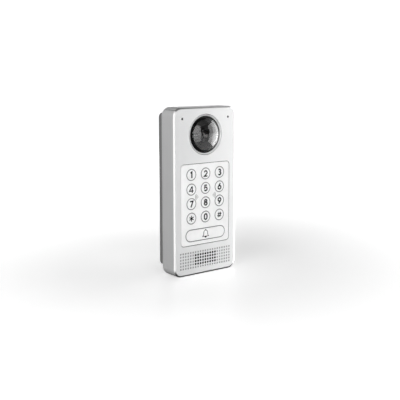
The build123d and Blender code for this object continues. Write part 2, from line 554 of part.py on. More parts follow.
with BuildPart() as speaker_seal:
    slot_ring(
        FACE_BACK - SPEAKER_SEAL,
        FACE_BACK,
        SPEAKER_L,
        SPEAKER_H,
        SPEAKER_L - 2 * SPEAKER_RIM,
        SPEAKER_H - 2 * SPEAKER_RIM,
        SPEAKER_Z,
    )
speaker_seal.part.label = "speaker_seal"
export_step(speaker_seal.part, "parts/speaker_seal.step")

with BuildPart() as speaker_basket:
    rim_top = FACE_BACK - SPEAKER_SEAL
    rim_back, floor_top = rim_top - RIM_THICK, SPEAKER_BACK + BASKET_FLOOR
    rim_l, rim_h = SPEAKER_L - 2 * SPEAKER_RIM, SPEAKER_H - 2 * SPEAKER_RIM
    basket_l, basket_h = SPEAKER_L - 2 * BASKET_INSET, SPEAKER_H - 2 * BASKET_INSET
    hollow_l, hollow_h = basket_l - 2 * BASKET_WALL, basket_h - 2 * BASKET_WALL
    slot_ring(rim_back, rim_top, SPEAKER_L, SPEAKER_H, rim_l, rim_h, SPEAKER_Z)
    slot_ring(floor_top, rim_back, basket_l, basket_h, hollow_l, hollow_h, SPEAKER_Z)
    slot_ring(SPEAKER_BACK, floor_top, basket_l, basket_h, BASKET_HOLE_L, BASKET_HOLE_H, SPEAKER_Z)
speaker_basket.part.label = "speaker_basket"
export_step(speaker_basket.part, "parts/speaker_basket.step")

with BuildPart() as speaker_cone:
    with BuildSketch(level(rim_back)):
        with Locations((0, SPEAKER_Z)):
            SlotOverall(rim_l - 2 * GAP, rim_h - 2 * GAP)
    extrude(amount=CONE_THICK)
    cap_top = rim_back + CONE_CAP_TALL
    turned([(0, rim_back), (CONE_CAP_R, rim_back), (CONE_CAP_TOP_R, cap_top), (0, cap_top)], z=SPEAKER_Z)
speaker_cone.part.label = "speaker_cone"
export_step(speaker_cone.part, "parts/speaker_cone.step")

with BuildPart() as speaker_magnet:
    discs(MAGNET_BACK, SPEAKER_BACK, [(0, SPEAKER_Z)], MAGNET_R)
    chamfer(speaker_magnet.edges().group_by(Axis.Y)[-1], MAGNET_EDGE)
speaker_magnet.part.label = "speaker_magnet"
export_step(speaker_magnet.part, "parts/speaker_magnet.step")

with BuildPart() as speaker_clamp:
    with BuildSketch(level(SPEAKER_BACK - CLAMP_THICK)):
        with Locations((0, SPEAKER_Z)):
            RectangleRounded(CLAMP_W, CLAMP_H, CLAMP_END_R)
            Circle(CLAMP_MIDDLE_R)
            Circle(MAGNET_R + GAP, mode=Mode.SUBTRACT)
    extrude(amount=CLAMP_THICK)
    clamp_back = SPEAKER_BACK - CLAMP_THICK
    discs(clamp_back, SPEAKER_BACK, CLAMP_SCREWS, SMALL_R + RUNNING, Mode.SUBTRACT)
speaker_clamp.part.label = "speaker_clamp"
export_step(speaker_clamp.part, "parts/speaker_clamp.step")

# The rubber boot holds the microphone behind its pinhole.
with BuildPart() as microphone_boot:
    discs(BOOT_BACK, FACE_BACK, [pinholes[0]], SOCKET_R)
    discs(BOOT_BACK, FACE_BACK, [pinholes[0]], PINHOLE_R, Mode.SUBTRACT)
    discs(MICROPHONE_BACK, FACE_BACK - BOOT_SKIN, [pinholes[0]], MICROPHONE_R, Mode.SUBTRACT)
microphone_boot.part.label = "microphone_boot"
export_step(microphone_boot.part, "parts/microphone_boot.step")

with BuildPart() as microphone:
    microphone_top = FACE_BACK - BOOT_SKIN
    port_floor = microphone_top - PORT_DEPTH
    discs(MICROPHONE_BACK, microphone_top, [pinholes[0]], MICROPHONE_R)
    discs(port_floor, microphone_top, [pinholes[0]], MICROPHONE_PORT_R, Mode.SUBTRACT)
microphone.part.label = "microphone"
export_step(microphone.part, "parts/microphone.step")

# The light sensor's clear nose stands in its pinhole.
with BuildPart() as light_sensor:
    neck_back = FACE_BACK - SENSOR_NECK
    discs(BOOT_BACK, neck_back, [pinholes[1]], SOCKET_R)
    discs(neck_back, FACE_BACK, [pinholes[1]], SENSOR_NECK_R)
    discs(FACE_BACK, SENSOR_TOP, [pinholes[1]], PINHOLE_R - RUNNING)
light_sensor.part.label = "light_sensor"
export_step(light_sensor.part, "parts/light_sensor.step")


def rounded_path(points, radius):
    """Straight runs joined by arcs, in the line being built."""
    corners = [Vector(*point) for point in points]
    start = corners[0]
    for before, corner, after in zip(corners, corners[1:], corners[2:]):
        back = (before - corner).normalized()
        ahead = (after - corner).normalized()
        arc_start = corner + back * radius
        arc_end = corner + ahead * radius
        centre = corner + (back + ahead) * radius
        Line(start, arc_start)
        ThreePointArc(arc_start, centre + (corner - centre).normalized() * radius, arc_end)
        start = arc_end
    Line(start, corners[-1])


lead_end = SOCKET_PLACES[0][1] - SOCKET_H / 2
socket_top = SOCKET_PLACES[1][1] + SOCKET_H / 2
LEAD_ROUTES = {
    "speaker_lead": [
        (LEAD_START_X, -SPEAKER_BACK, LEAD_START_Z),
        (LEAD_START_X, -LEAD_LEVEL, LEAD_START_Z),
        (LEAD_X, -LEAD_LEVEL, LEAD_START_Z),
        (LEAD_X, -LEAD_LEVEL, lead_end),
    ],
    "microphone_lead": [
        (-LEAD_X, -BOOT_BACK, PINHOLE_Z),
        (-LEAD_X, -LEAD_LEVEL, PINHOLE_Z),
        (-LEAD_X, -LEAD_LEVEL, socket_top),
    ],
    "sensor_lead": [
        (LEAD_X, -BOOT_BACK, PINHOLE_Z),
        (LEAD_X, -LEAD_LEVEL, PINHOLE_Z),
        (LEAD_X, -LEAD_LEVEL, socket_top),
    ],
}
for name, route in LEAD_ROUTES.items():
    with BuildPart() as lead:
        with BuildLine():
            rounded_path(route, LEAD_BEND)
        with BuildSketch(level(-route[0][1])):
            with Locations((route[0][0], route[0][2])):
                Circle(LEAD_R)
        sweep()
    lead.part.label = name
    export_step(lead.part, f"parts/{name}.step")

# ======== main board ========

with BuildPart() as main_board:
    block(MAIN_LEVEL, MAIN_TOP, -MAIN_W / 2, MAIN_W / 2, MAIN_LOW, MAIN_HIGH)
    jack_left, jack_right = JACK_X - JACK_W / 2, JACK_X + JACK_W / 2
    jack_top = JACK_MOUTH + JACK_L
    block(
        MAIN_LEVEL,
        MAIN_TOP,
        jack_left - GAP,
        jack_right + GAP,
        MAIN_LOW,
        jack_top + GAP,
        Mode.SUBTRACT,
    )
    discs(MAIN_LEVEL, MAIN_TOP, MAIN_SCREWS, SMALL_R + RUNNING, Mode.SUBTRACT)
main_board.part.label = "main_board"
export_step(main_board.part, "parts/main_board.step")

with BuildPart() as processor:
    with BuildSketch(level(MAIN_TOP)):
        with Locations((0, PROCESSOR_Z)):
            RectangleRounded(PROCESSOR_W, PROCESSOR_W, PROCESSOR_R)
    extrude(amount=PROCESSOR_TALL)
processor.part.label = "processor"
export_step(processor.part, "parts/processor.step")

with BuildPart() as shield_can:
    block(MAIN_TOP, MAIN_TOP + CAN_TALL, CAN_LEFT, CAN_RIGHT, CAN_LOW, CAN_HIGH)
    fillet(shield_can.edges().filter_by(Axis.Y), CAN_ROUND)
    fillet(shield_can.edges().group_by(Axis.Y)[0], CAN_EDGE)
    block(
        MAIN_TOP,
        MAIN_TOP + CAN_TALL - CAN_SKIN,
        CAN_LEFT + CAN_SKIN,
        CAN_RIGHT - CAN_SKIN,
        CAN_LOW + CAN_SKIN,
        CAN_HIGH - CAN_SKIN,
        Mode.SUBTRACT,
    )
shield_can.part.label = "shield_can"
export_step(shield_can.part, "parts/shield_can.step")

with BuildPart() as capacitors:
    with BuildSketch(level(MAIN_TOP)):
        with Locations(*CAPACITORS):
            RectangleRounded(CAPACITOR_BASE, CAPACITOR_BASE, CAPACITOR_FOOT)
    extrude(amount=CAPACITOR_FOOT)
    discs(MAIN_TOP + CAPACITOR_FOOT, MAIN_TOP + CAPACITOR_TALL, CAPACITORS, CAPACITOR_R)
    fillet(capacitors.edges().group_by(Axis.Y)[0], CAN_EDGE)
capacitors.part.label = "capacitors"
export_step(capacitors.part, "parts/capacitors.step")

# The plug and socket that join the main board to the keypad board.
with BuildPart() as board_connector:
    block(MAIN_TOP, KEYPAD_BOARD_LEVEL, -LINK_X, LINK_X, LINK_LOW, LINK_HIGH)
    join_low, join_high = MAIN_TOP + LINK_JOIN, MAIN_TOP + LINK_JOIN + LINK_GROOVE
    for edge in (LINK_LOW, LINK_HIGH - LINK_GROOVE):
        block(join_low, join_high, -LINK_X, LINK_X, edge, edge + LINK_GROOVE, Mode.SUBTRACT)
board_connector.part.label = "board_connector"
export_step(board_connector.part, "parts/board_connector.step")

with BuildPart() as lead_sockets:
    with BuildSketch(level(MAIN_TOP)):
        with Locations(*SOCKET_PLACES):
            Rectangle(SOCKET_W, SOCKET_H)
    extrude(amount=SOCKET_TALL)
lead_sockets.part.label = "lead_sockets"
export_step(lead_sockets.part, "parts/lead_sockets.step")

# The network socket: it hangs through a cut-out in the board and opens downwards.
with BuildPart() as network_jack:
    block(JACK_BACK, JACK_BACK + JACK_H, jack_left, jack_right, JACK_MOUTH, jack_top)
    plug_back = JACK_BACK + JACK_FLOOR
    plug_front = plug_back + PLUG_TALL
    plug_hollow = (plug_back, plug_front, PLUG_X, PLUG_L)
    latch_hollow = (plug_front, plug_front + LATCH_TALL, LATCH_X, LATCH_L)
    for low, high, half, length in (plug_hollow, latch_hollow):
        block(low, high, JACK_X - half, JACK_X + half, JACK_MOUTH, JACK_MOUTH + length, Mode.SUBTRACT)
network_jack.part.label = "network_jack"
export_step(network_jack.part, "parts/network_jack.step")

terminal_places = [(TERMINAL_X, z) for z in TERMINAL_ZS]
ways = [(i - (TERMINAL_WAYS - 1) / 2) * TERMINAL_PITCH for i in range(TERMINAL_WAYS)]
with BuildPart() as terminal_headers:
    with BuildSketch(level(TERMINAL_BACK)):
        with Locations(*terminal_places):
            Rectangle(TERMINAL_L, TERMINAL_W)
    extrude(amount=MAIN_LEVEL - TERMINAL_BACK)
    with BuildSketch(level(TERMINAL_BACK)):
        with Locations(*terminal_places):
            Rectangle(TERMINAL_L - 2 * HEADER_WALL, TERMINAL_W - 2 * HEADER_WALL)
    extrude(amount=HEADER_DEEP, mode=Mode.SUBTRACT)
terminal_headers.part.label = "terminal_headers"
export_step(terminal_headers.part, "parts/terminal_headers.step")

# The plugs that take the wires, with a wire hole and a screw hole for each way.
with BuildPart() as terminal_plugs:
    with BuildSketch(level(TERMINAL_BACK)):
        with Locations(*terminal_places):
            plug_wall = HEADER_WALL + RUNNING
            Rectangle(TERMINAL_L - 2 * plug_wall, TERMINAL_W - 2 * plug_wall)
    extrude(amount=HEADER_DEEP)
    with BuildSketch(level(TERMINAL_BACK - PLUG_HEAD)):
        with Locations(*terminal_places):
            Rectangle(TERMINAL_L, TERMINAL_W + PLUG_HEAD_EXTRA)
    extrude(amount=PLUG_HEAD)
    with BuildSketch(level(TERMINAL_BACK - PLUG_HEAD)):
        with Locations(*[(TERMINAL_X + way, z) for z in TERMINAL_ZS for way in ways]):
            with Locations((0, WIRE_Z)):
                Circle(WIRE_R)
            with Locations((0, CLAMP_HOLE_Z)):
                RectangleRounded(CLAMP_HOLE_W, CLAMP_HOLE_W, CLAMP_HOLE_R)
    extrude(amount=WIRE_DEEP, mode=Mode.SUBTRACT)
terminal_plugs.part.label = "terminal_plugs"
export_step(terminal_plugs.part, "parts/terminal_plugs.step")

# The bodies of the two small switches on the rear of the main board.
with BuildPart() as board_switches:
    with BuildSketch(level(PRESS_SWITCH_BACK)):
        with Locations(*PRESS_PLACES):
            RectangleRounded(SWITCH_W, SWITCH_W, SWITCH_EDGE)
    extrude(amount=MAIN_LEVEL - PRESS_SWITCH_BACK)
    switch_bore = STEM_R + RUNNING
    discs(PRESS_SWITCH_BACK, PRESS_SWITCH_FLOOR, PRESS_PLACES, switch_bore, Mode.SUBTRACT)
board_switches.part.label = "board_switches"
export_step(board_switches.part, "parts/board_switches.step")

# The reset button in the floor of the wiring bay.
with BuildPart() as reset_button:
    bay_floor_front = BAY_SHALLOW + BAY_WALL
    discs(RESET_BACK, bay_floor_front, PRESS_PLACES[:1], RESET_R)
    collar_front = bay_floor_front + COLLAR_THICK
    discs(bay_floor_front, collar_front, PRESS_PLACES[:1], RESET_R + RESET_COLLAR)
    discs(collar_front, PRESS_TIP, PRESS_PLACES[:1], STEM_R)
reset_button.part.label = "reset_button"
export_step(reset_button.part, "parts/reset_button.step")

# The tamper plunger: it rests on the bracket and lets its switch go when the unit is pulled off.
with BuildPart() as tamper_plunger:
    discs(TAMPER_BACK, FLOOR + GAP, PRESS_PLACES[1:], TAMPER_R)
    discs(FLOOR + GAP, TAMPER_COLLAR_TOP, PRESS_PLACES[1:], TAMPER_R + TAMPER_COLLAR)
    discs(TAMPER_COLLAR_TOP, TAMPER_SHOULDER, PRESS_PLACES[1:], TAMPER_R)
    discs(TAMPER_SHOULDER, PRESS_TIP, PRESS_PLACES[1:], STEM_R)
tamper_plunger.part.label = "tamper_plunger"
export_step(tamper_plunger.part, "parts/tamper_plunger.step")

# ======== back shell ========

with BuildPart() as back_shell:
    with BuildSketch(level(REAR)):
        RectangleRounded(WIDTH, HEIGHT, CORNER)
    extrude(amount=SEAM - REAR)
    fillet(back_shell.faces().sort_by(Axis.Y)[-1].edges(), BACK_ROUND)
    with BuildSketch(level(FLOOR)):
        inner_w, inner_h = WIDTH - 2 * SHELL_WALL, HEIGHT - 2 * SHELL_WALL
        RectangleRounded(inner_w, inner_h, CORNER - SHELL_WALL)
    extrude(amount=SEAM - FLOOR, mode=Mode.SUBTRACT)
    bay_out = BAY_X + BAY_WALL
    bay_low_out, bay_high_out = BAY_LOW - BAY_WALL, BAY_HIGH + BAY_WALL
    block(FLOOR, BAY_SHALLOW + BAY_WALL, -bay_out, bay_out, bay_low_out, bay_high_out)
    block(FLOOR, BAY_DEEP + BAY_WALL, -bay_out, bay_out, bay_low_out, BAY_STEP + BAY_WALL)
    block(REAR, BAY_SHALLOW, -BAY_X, BAY_X, BAY_LOW, BAY_HIGH, Mode.SUBTRACT)
    block(REAR, BAY_DEEP, -BAY_X, BAY_X, BAY_LOW, BAY_STEP, Mode.SUBTRACT)
    jack_front = JACK_BACK + JACK_H + GAP
    block(
        BAY_SHALLOW,
        jack_front,
        jack_left - GAP,
        jack_right + GAP,
        BAY_STEP,
        jack_top + GAP,
        Mode.SUBTRACT,
    )
    with BuildSketch(level(BAY_SHALLOW)):
        with Locations(*terminal_places):
            Rectangle(TERMINAL_L + 2 * GAP, TERMINAL_W + 2 * GAP)
    extrude(amount=BAY_WALL, mode=Mode.SUBTRACT)
    discs(BAY_SHALLOW, bay_floor_front, PRESS_PLACES[:1], RESET_R + RUNNING, Mode.SUBTRACT)
    discs(REAR, FLOOR, PRESS_PLACES[1:], TAMPER_R + RUNNING, Mode.SUBTRACT)
    discs(FLOOR, MAIN_LEVEL, MAIN_SCREWS, POST_R)
    discs(MAIN_LEVEL - SMALL_HOLE, MAIN_LEVEL, MAIN_SCREWS, SMALL_R, Mode.SUBTRACT)
    discs(FLOOR, SEAM, CASE_SCREWS, BOSS_R)
    discs(REAR, SEAM, CASE_SCREWS, CASE_SCREW_R + RUNNING, Mode.SUBTRACT)
    discs(REAR, CASE_HEAD_SEAT, CASE_SCREWS, CASE_HEAD_R + GAP, Mode.SUBTRACT)
    for x in (-HOOK_X, HOOK_X):
        slot_low = HOOK_Z - 2 * HOOK_THICK - GAP
        block(
            REAR,
            FLOOR,
            x - HOOK_W / 2 - GAP,
            x + HOOK_W / 2 + GAP,
            slot_low,
            HOOK_Z,
            Mode.SUBTRACT,
        )
    for x in (-LUG_X, LUG_X):
        block(
            REAR,
            FLOOR,
            x - LUG_W / 2 - GAP,
            x + LUG_W / 2 + GAP,
            -BRACKET_H / 2 - GAP,
            LUG_HIGH + GAP,
            Mode.SUBTRACT,
        )
    bottom = -HEIGHT / 2
    with BuildSketch(Plane.XY.offset(bottom)):
        with Locations((-LUG_X, -LOCK_LEVEL), (LUG_X, -LOCK_LEVEL)):
            Circle(LOCK_R + RUNNING)
    extrude(amount=SHELL_WALL + GAP, mode=Mode.SUBTRACT)
    with BuildSketch(Plane.XY.offset(bottom)):
        with Locations((-LUG_X, -LOCK_LEVEL), (LUG_X, -LOCK_LEVEL)):
            Circle(LOCK_BORE_R)
    extrude(amount=LOCK_SEAT, mode=Mode.SUBTRACT)
back_shell.part.label = "back_shell"
export_step(back_shell.part, "parts/back_shell.step")

# The seal that runs round inside the seam.
with BuildPart() as case_seal:
    with BuildSketch(level(SEAM)):
        seal_w, seal_h = WIDTH - 2 * WALL - GAP, HEIGHT - 2 * WALL - GAP
        RectangleRounded(seal_w, seal_h, CORNER - WALL - GAP / 2)
        inner_r = CORNER - WALL - SEAL_W
        RectangleRounded(seal_w - 2 * SEAL_W, seal_h - 2 * SEAL_W, inner_r, mode=Mode.SUBTRACT)
    extrude(amount=SEAL_TALL)
case_seal.part.label = "case_seal"
export_step(case_seal.part, "parts/case_seal.step")

# ======== wall bracket ========

with BuildPart() as wall_bracket:
    with BuildSketch(level(0)):
        RectangleRounded(BRACKET_W, BRACKET_H, BRACKET_R)
    extrude(amount=REAR)
    with BuildSketch(level(BRACKET_BASE)):
        inner_w, inner_h = BRACKET_W - 2 * BRACKET_WALL, BRACKET_H - 2 * BRACKET_WALL
        RectangleRounded(inner_w, inner_h, BRACKET_R - BRACKET_WALL)
    extrude(amount=REAR - BRACKET_BASE, mode=Mode.SUBTRACT)
    discs(BRACKET_BASE, BRACKET_BASE + WALL_PAD, WALL_SCREWS, WALL_PAD_R)
    with BuildSketch(level(0)):
        with Locations((0, ENTRY_Z)):
            RectangleRounded(ENTRY_W + 2 * ENTRY_RIM, ENTRY_H + 2 * ENTRY_RIM, ENTRY_R + ENTRY_RIM)
    extrude(amount=BRACKET_BASE + ENTRY_RIM_TALL)
    with BuildSketch(level(0)):
        with Locations((0, ENTRY_Z)):
            RectangleRounded(ENTRY_W, ENTRY_H, ENTRY_R)
    extrude(amount=BRACKET_BASE + ENTRY_RIM_TALL, mode=Mode.SUBTRACT)
    discs(0, BRACKET_BASE + WALL_PAD, WALL_SCREWS, WALL_SCREW_R, Mode.SUBTRACT)
    for x in (-HOOK_X, HOOK_X):
        left, right = x - HOOK_W / 2, x + HOOK_W / 2
        nose_back = FLOOR + GAP
        nose_front = nose_back + HOOK_THICK
        block(BRACKET_BASE, nose_front, left, right, HOOK_Z - HOOK_THICK, HOOK_Z)
        block(nose_back, nose_front, left, right, HOOK_Z - HOOK_THICK, HOOK_Z + HOOK_LIP)
    for x in (-LUG_X, LUG_X):
        block(BRACKET_BASE, LUG_FRONT, x - LUG_W / 2, x + LUG_W / 2, -BRACKET_H / 2, LUG_HIGH)
    with BuildSketch(Plane.XY.offset(-BRACKET_H / 2)):
        with Locations((-LUG_X, -LOCK_LEVEL), (LUG_X, -LOCK_LEVEL)):
            Circle(LOCK_R)
    extrude(amount=LOCK_THREAD, mode=Mode.SUBTRACT)
wall_bracket.part.label = "wall_bracket"
export_step(wall_bracket.part, "parts/wall_bracket.step")

# ======== screws ========

# The two screws that lock the unit to the bracket from below.
with BuildPart() as lock_screws:
    head_seat = -HEIGHT / 2 + LOCK_SEAT
    with BuildSketch(Plane.XY.offset(head_seat)):
        with Locations((-LUG_X, -LOCK_LEVEL), (LUG_X, -LOCK_LEVEL)):
            Circle(LOCK_R)
    extrude(amount=LOCK_LENGTH)
    with BuildSketch(Plane.XY.offset(head_seat)):
        with Locations((-LUG_X, -LOCK_LEVEL), (LUG_X, -LOCK_LEVEL)):
            Circle(LOCK_HEAD_R)
    extrude(amount=-LOCK_HEAD)
    with BuildSketch(Plane.XY.offset(head_seat - LOCK_HEAD)):
        with Locations((-LUG_X, -LOCK_LEVEL), (LUG_X, -LOCK_LEVEL)):
            RegularPolygon(KEY_SOCKET_R, 6)
    extrude(amount=KEY_SOCKET, mode=Mode.SUBTRACT)
lock_screws.part.label = "lock_screws"
export_step(lock_screws.part, "parts/lock_screws.step")

# The six screws that hold the casing to the back shell.
with BuildPart() as case_screws:
    discs(CASE_HEAD_SEAT, SEAM + CASE_SCREW_IN, CASE_SCREWS, CASE_SCREW_R)
    discs(CASE_HEAD_SEAT - CASE_HEAD, CASE_HEAD_SEAT, CASE_SCREWS, CASE_HEAD_R)
    with BuildSketch(level(CASE_HEAD_SEAT - CASE_HEAD)):
        with Locations(*CASE_SCREWS):
            Rectangle(CASE_CROSS_L, CASE_CROSS_W)
            Rectangle(CASE_CROSS_W, CASE_CROSS_L)
    extrude(amount=CASE_CROSS, mode=Mode.SUBTRACT)
case_screws.part.label = "case_screws"
export_step(case_screws.part, "parts/case_screws.step")

# The small screws inside: where they sit, which way they point and the level under the head.
SMALL_SCREWS = [
    (KEYPAD_SCREWS, 1, KEYPAD_BOARD_LEVEL),
    (CAMERA_SCREWS, 1, CAMERA_SEAT - BRACKET_PLATE),
    (CAMERA_LEGS, 1, CAMERA_BOARD_LEVEL),
    (CLAMP_SCREWS, 1, SPEAKER_BACK - CLAMP_THICK),
    (MAIN_SCREWS, -1, MAIN_TOP),
]
with BuildPart() as board_screws:
    for places, way, seat in SMALL_SCREWS:
        discs(seat, seat + way * SMALL_LENGTH, places, SMALL_R)
        discs(seat, seat - way * SMALL_HEAD, places, SMALL_HEAD_R)
        with BuildSketch(level(seat - way * SMALL_HEAD)):
            with Locations(*places):
                Rectangle(SMALL_CROSS_L, SMALL_CROSS_W)
                Rectangle(SMALL_CROSS_W, SMALL_CROSS_L)
        extrude(amount=way * SMALL_CROSS, mode=Mode.SUBTRACT)
board_screws.part.label = "board_screws"
export_step(board_screws.part, "parts/board_screws.step")
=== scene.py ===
"""Looks for the video door station: materials, printed marks, camera glass, wiring bay, stage and camera.

Everything is in metres in the model's own frame: the wall is the plane y = 0, the front faces -Y,
Z is up. A depth is given as a level, the distance from the wall, so y = -level.
"""

import json
import math

import bmesh
import bpy
from mathutils import Matrix, Vector


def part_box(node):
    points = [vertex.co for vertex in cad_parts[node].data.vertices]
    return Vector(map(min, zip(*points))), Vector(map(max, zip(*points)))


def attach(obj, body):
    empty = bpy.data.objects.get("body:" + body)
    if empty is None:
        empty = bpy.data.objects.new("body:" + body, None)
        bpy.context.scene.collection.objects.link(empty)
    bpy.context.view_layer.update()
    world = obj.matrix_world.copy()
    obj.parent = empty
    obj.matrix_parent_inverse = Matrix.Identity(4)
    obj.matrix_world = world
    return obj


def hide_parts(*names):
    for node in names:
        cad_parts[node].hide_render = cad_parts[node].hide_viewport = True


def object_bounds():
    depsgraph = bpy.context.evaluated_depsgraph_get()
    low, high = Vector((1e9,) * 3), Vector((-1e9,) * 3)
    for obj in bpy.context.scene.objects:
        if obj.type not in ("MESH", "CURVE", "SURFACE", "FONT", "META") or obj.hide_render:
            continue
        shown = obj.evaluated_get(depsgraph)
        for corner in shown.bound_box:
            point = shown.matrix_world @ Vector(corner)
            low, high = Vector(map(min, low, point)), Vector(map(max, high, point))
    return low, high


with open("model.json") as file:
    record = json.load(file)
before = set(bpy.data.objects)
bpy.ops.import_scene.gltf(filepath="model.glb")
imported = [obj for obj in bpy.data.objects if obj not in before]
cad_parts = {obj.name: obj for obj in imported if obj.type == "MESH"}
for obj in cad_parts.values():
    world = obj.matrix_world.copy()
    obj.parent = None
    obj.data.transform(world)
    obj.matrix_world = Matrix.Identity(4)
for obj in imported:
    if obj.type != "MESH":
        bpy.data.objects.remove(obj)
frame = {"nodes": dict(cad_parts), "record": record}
cad_bounds = [list(corner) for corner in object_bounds()]
NODES = frame["nodes"]
MM = 0.001
UNIT = "unit"


def span(node):
    """Lowest corner, highest corner and middle of a CAD node."""
    low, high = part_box(node)
    return low, high, (low + high) / 2


# ======== mesh helpers ========


def new_object(name, mesh):
    """An object for a finished mesh, linked to the scene."""
    piece = bpy.data.objects.new(name, mesh)
    bpy.context.scene.collection.objects.link(piece)
    return piece


def smooth(mesh, degrees=35):
    """Smooth shading that stays crisp at edges sharper than the angle."""
    mesh.polygons.foreach_set("use_smooth", [True] * len(mesh.polygons))
    mesh.set_sharp_from_angle(angle=math.radians(degrees))


def lathe(name, outline, x, z, turns=128, degrees=35):
    """A piece turned about the depth line at (x, z), from a closed outline of (radius, level)."""
    shape = bmesh.new()
    rings = []
    for radius, level in outline:
        if radius < 1e-9:
            rings.append([shape.verts.new((x, -level, z))])
            continue
        ring = []
        for i in range(turns):
            angle = 2 * math.pi * i / turns
            ring.append(shape.verts.new((x + radius * math.cos(angle), -level, z + radius * math.sin(angle))))
        rings.append(ring)
    for ring, after in zip(rings, rings[1:] + rings[:1]):
        for i in range(turns):
            j = (i + 1) % turns
            corners = [ring[i % len(ring)], ring[j % len(ring)], after[j % len(after)], after[i % len(after)]]
            corners = list(dict.fromkeys(corners))
            if len(corners) > 2:
                shape.faces.new(corners)
    bmesh.ops.recalc_face_normals(shape, faces=shape.faces)
    mesh = bpy.data.meshes.new(name)
    shape.to_mesh(mesh)
    shape.free()
    smooth(mesh, degrees)
    return new_object(name, mesh)


def ball_arc(ball, apex, r_from, r_to, steps):
    """Points of (radius, level) on a ball whose apex is at a level on the axis."""
    points = []
    for i in range(steps + 1):
        radius = r_from + (r_to - r_from) * i / steps
        points.append((radius, apex - ball + math.sqrt(ball * ball - radius * radius)))
    return points


def sheet_solid(name, rings, low, high):
    """A thin solid between two levels from closed rings of (x, z): the first outside, others holes."""
    shape = bmesh.new()
    edges = []
    for ring in rings:
        verts = [shape.verts.new((x, -low, z)) for x, z in ring]
        edges += [shape.edges.new((a, b)) for a, b in zip(verts, verts[1:] + verts[:1])]
    bmesh.ops.triangle_fill(shape, use_beauty=True, use_dissolve=False, edges=edges)
    flat = shape.faces[:]
    grown = bmesh.ops.extrude_face_region(shape, geom=flat)
    moved = [v for v in grown["geom"] if isinstance(v, bmesh.types.BMVert)]
    bmesh.ops.translate(shape, verts=moved, vec=(0, low - high, 0))
    bmesh.ops.recalc_face_normals(shape, faces=shape.faces)
    mesh = bpy.data.meshes.new(name)
    shape.to_mesh(mesh)
    shape.free()
    return new_object(name, mesh)


def arc(x, z, radius, start, end, steps=24, tall=None):
    """Points on a circle or an oval about (x, z), between two angles in degrees."""
    tall = radius if tall is None else tall
    angles = [math.radians(start + (end - start) * i / steps) for i in range(steps + 1)]
    return [(x + radius * math.cos(a), z + tall * math.sin(a)) for a in angles]


def stroke_rings(path, width, closed=False):
    """The outline of a pen stroke along a path of (x, z) points, with mitred corners."""
    points = [Vector(p) for p in path]
    if closed:
        points = points[:-1] if (points[0] - points[-1]).length < 1e-9 else points
    count = len(points)
    left, right = [], []
    for i, point in enumerate(points):
        before = points[i - 1] if closed or i else None
        after = points[(i + 1) % count] if closed or i < count - 1 else None
        into = (point - before).normalized() if before is not None else (after - point).normalized()
        out = (after - point).normalized() if after is not None else into
        normal = Vector((-into.y, into.x)) + Vector((-out.y, out.x))
        normal.normalize()
        reach = width / 2 / max(0.35, normal.dot(Vector((-out.y, out.x))))
        left.append(tuple(point + normal * reach))
        right.append(tuple(point - normal * reach))
    if not closed:
        return [left + right[::-1]]
    return [left, right] if area(left) > area(right) else [right, left]


def area(ring):
    """The size of a closed ring of points."""
    return abs(sum(a[0] * b[1] - b[0] * a[1] for a, b in zip(ring, ring[1:] + ring[:1]))) / 2


def united(name, parts):
    """One clean mesh from overlapping solids."""
    first = parts[0]
    for other in parts[1:]:
        join = first.modifiers.new("join", "BOOLEAN")
        join.operation = "UNION"
        join.solver = "EXACT"
        join.object = other
    depsgraph = bpy.context.evaluated_depsgraph_get()
    mesh = bpy.data.meshes.new_from_object(first.evaluated_get(depsgraph))
    for part in parts:
        bpy.data.objects.remove(part)
    mesh.name = name
    return new_object(name, mesh)


def drawn(name, strokes, width, x, z, low, high, scale=1.0):
    """A flat printed mark from pen strokes given about (0, 0) in metres."""
    parts = []
    for path, closed in strokes:
        moved = [(x + px * scale, z + pz * scale) for px, pz in path]
        parts.append(sheet_solid(name + "_part", stroke_rings(moved, width * scale, closed), low, high))
    if len(parts) == 1:
        parts[0].name = name
        return parts[0]
    return united(name, parts)


# ======== materials ========


def set_input(shader, **values):
    """Sets plain values on a shader's sockets by name."""
    for key, value in values.items():
        shader.inputs[key.replace("_", " ")].default_value = value


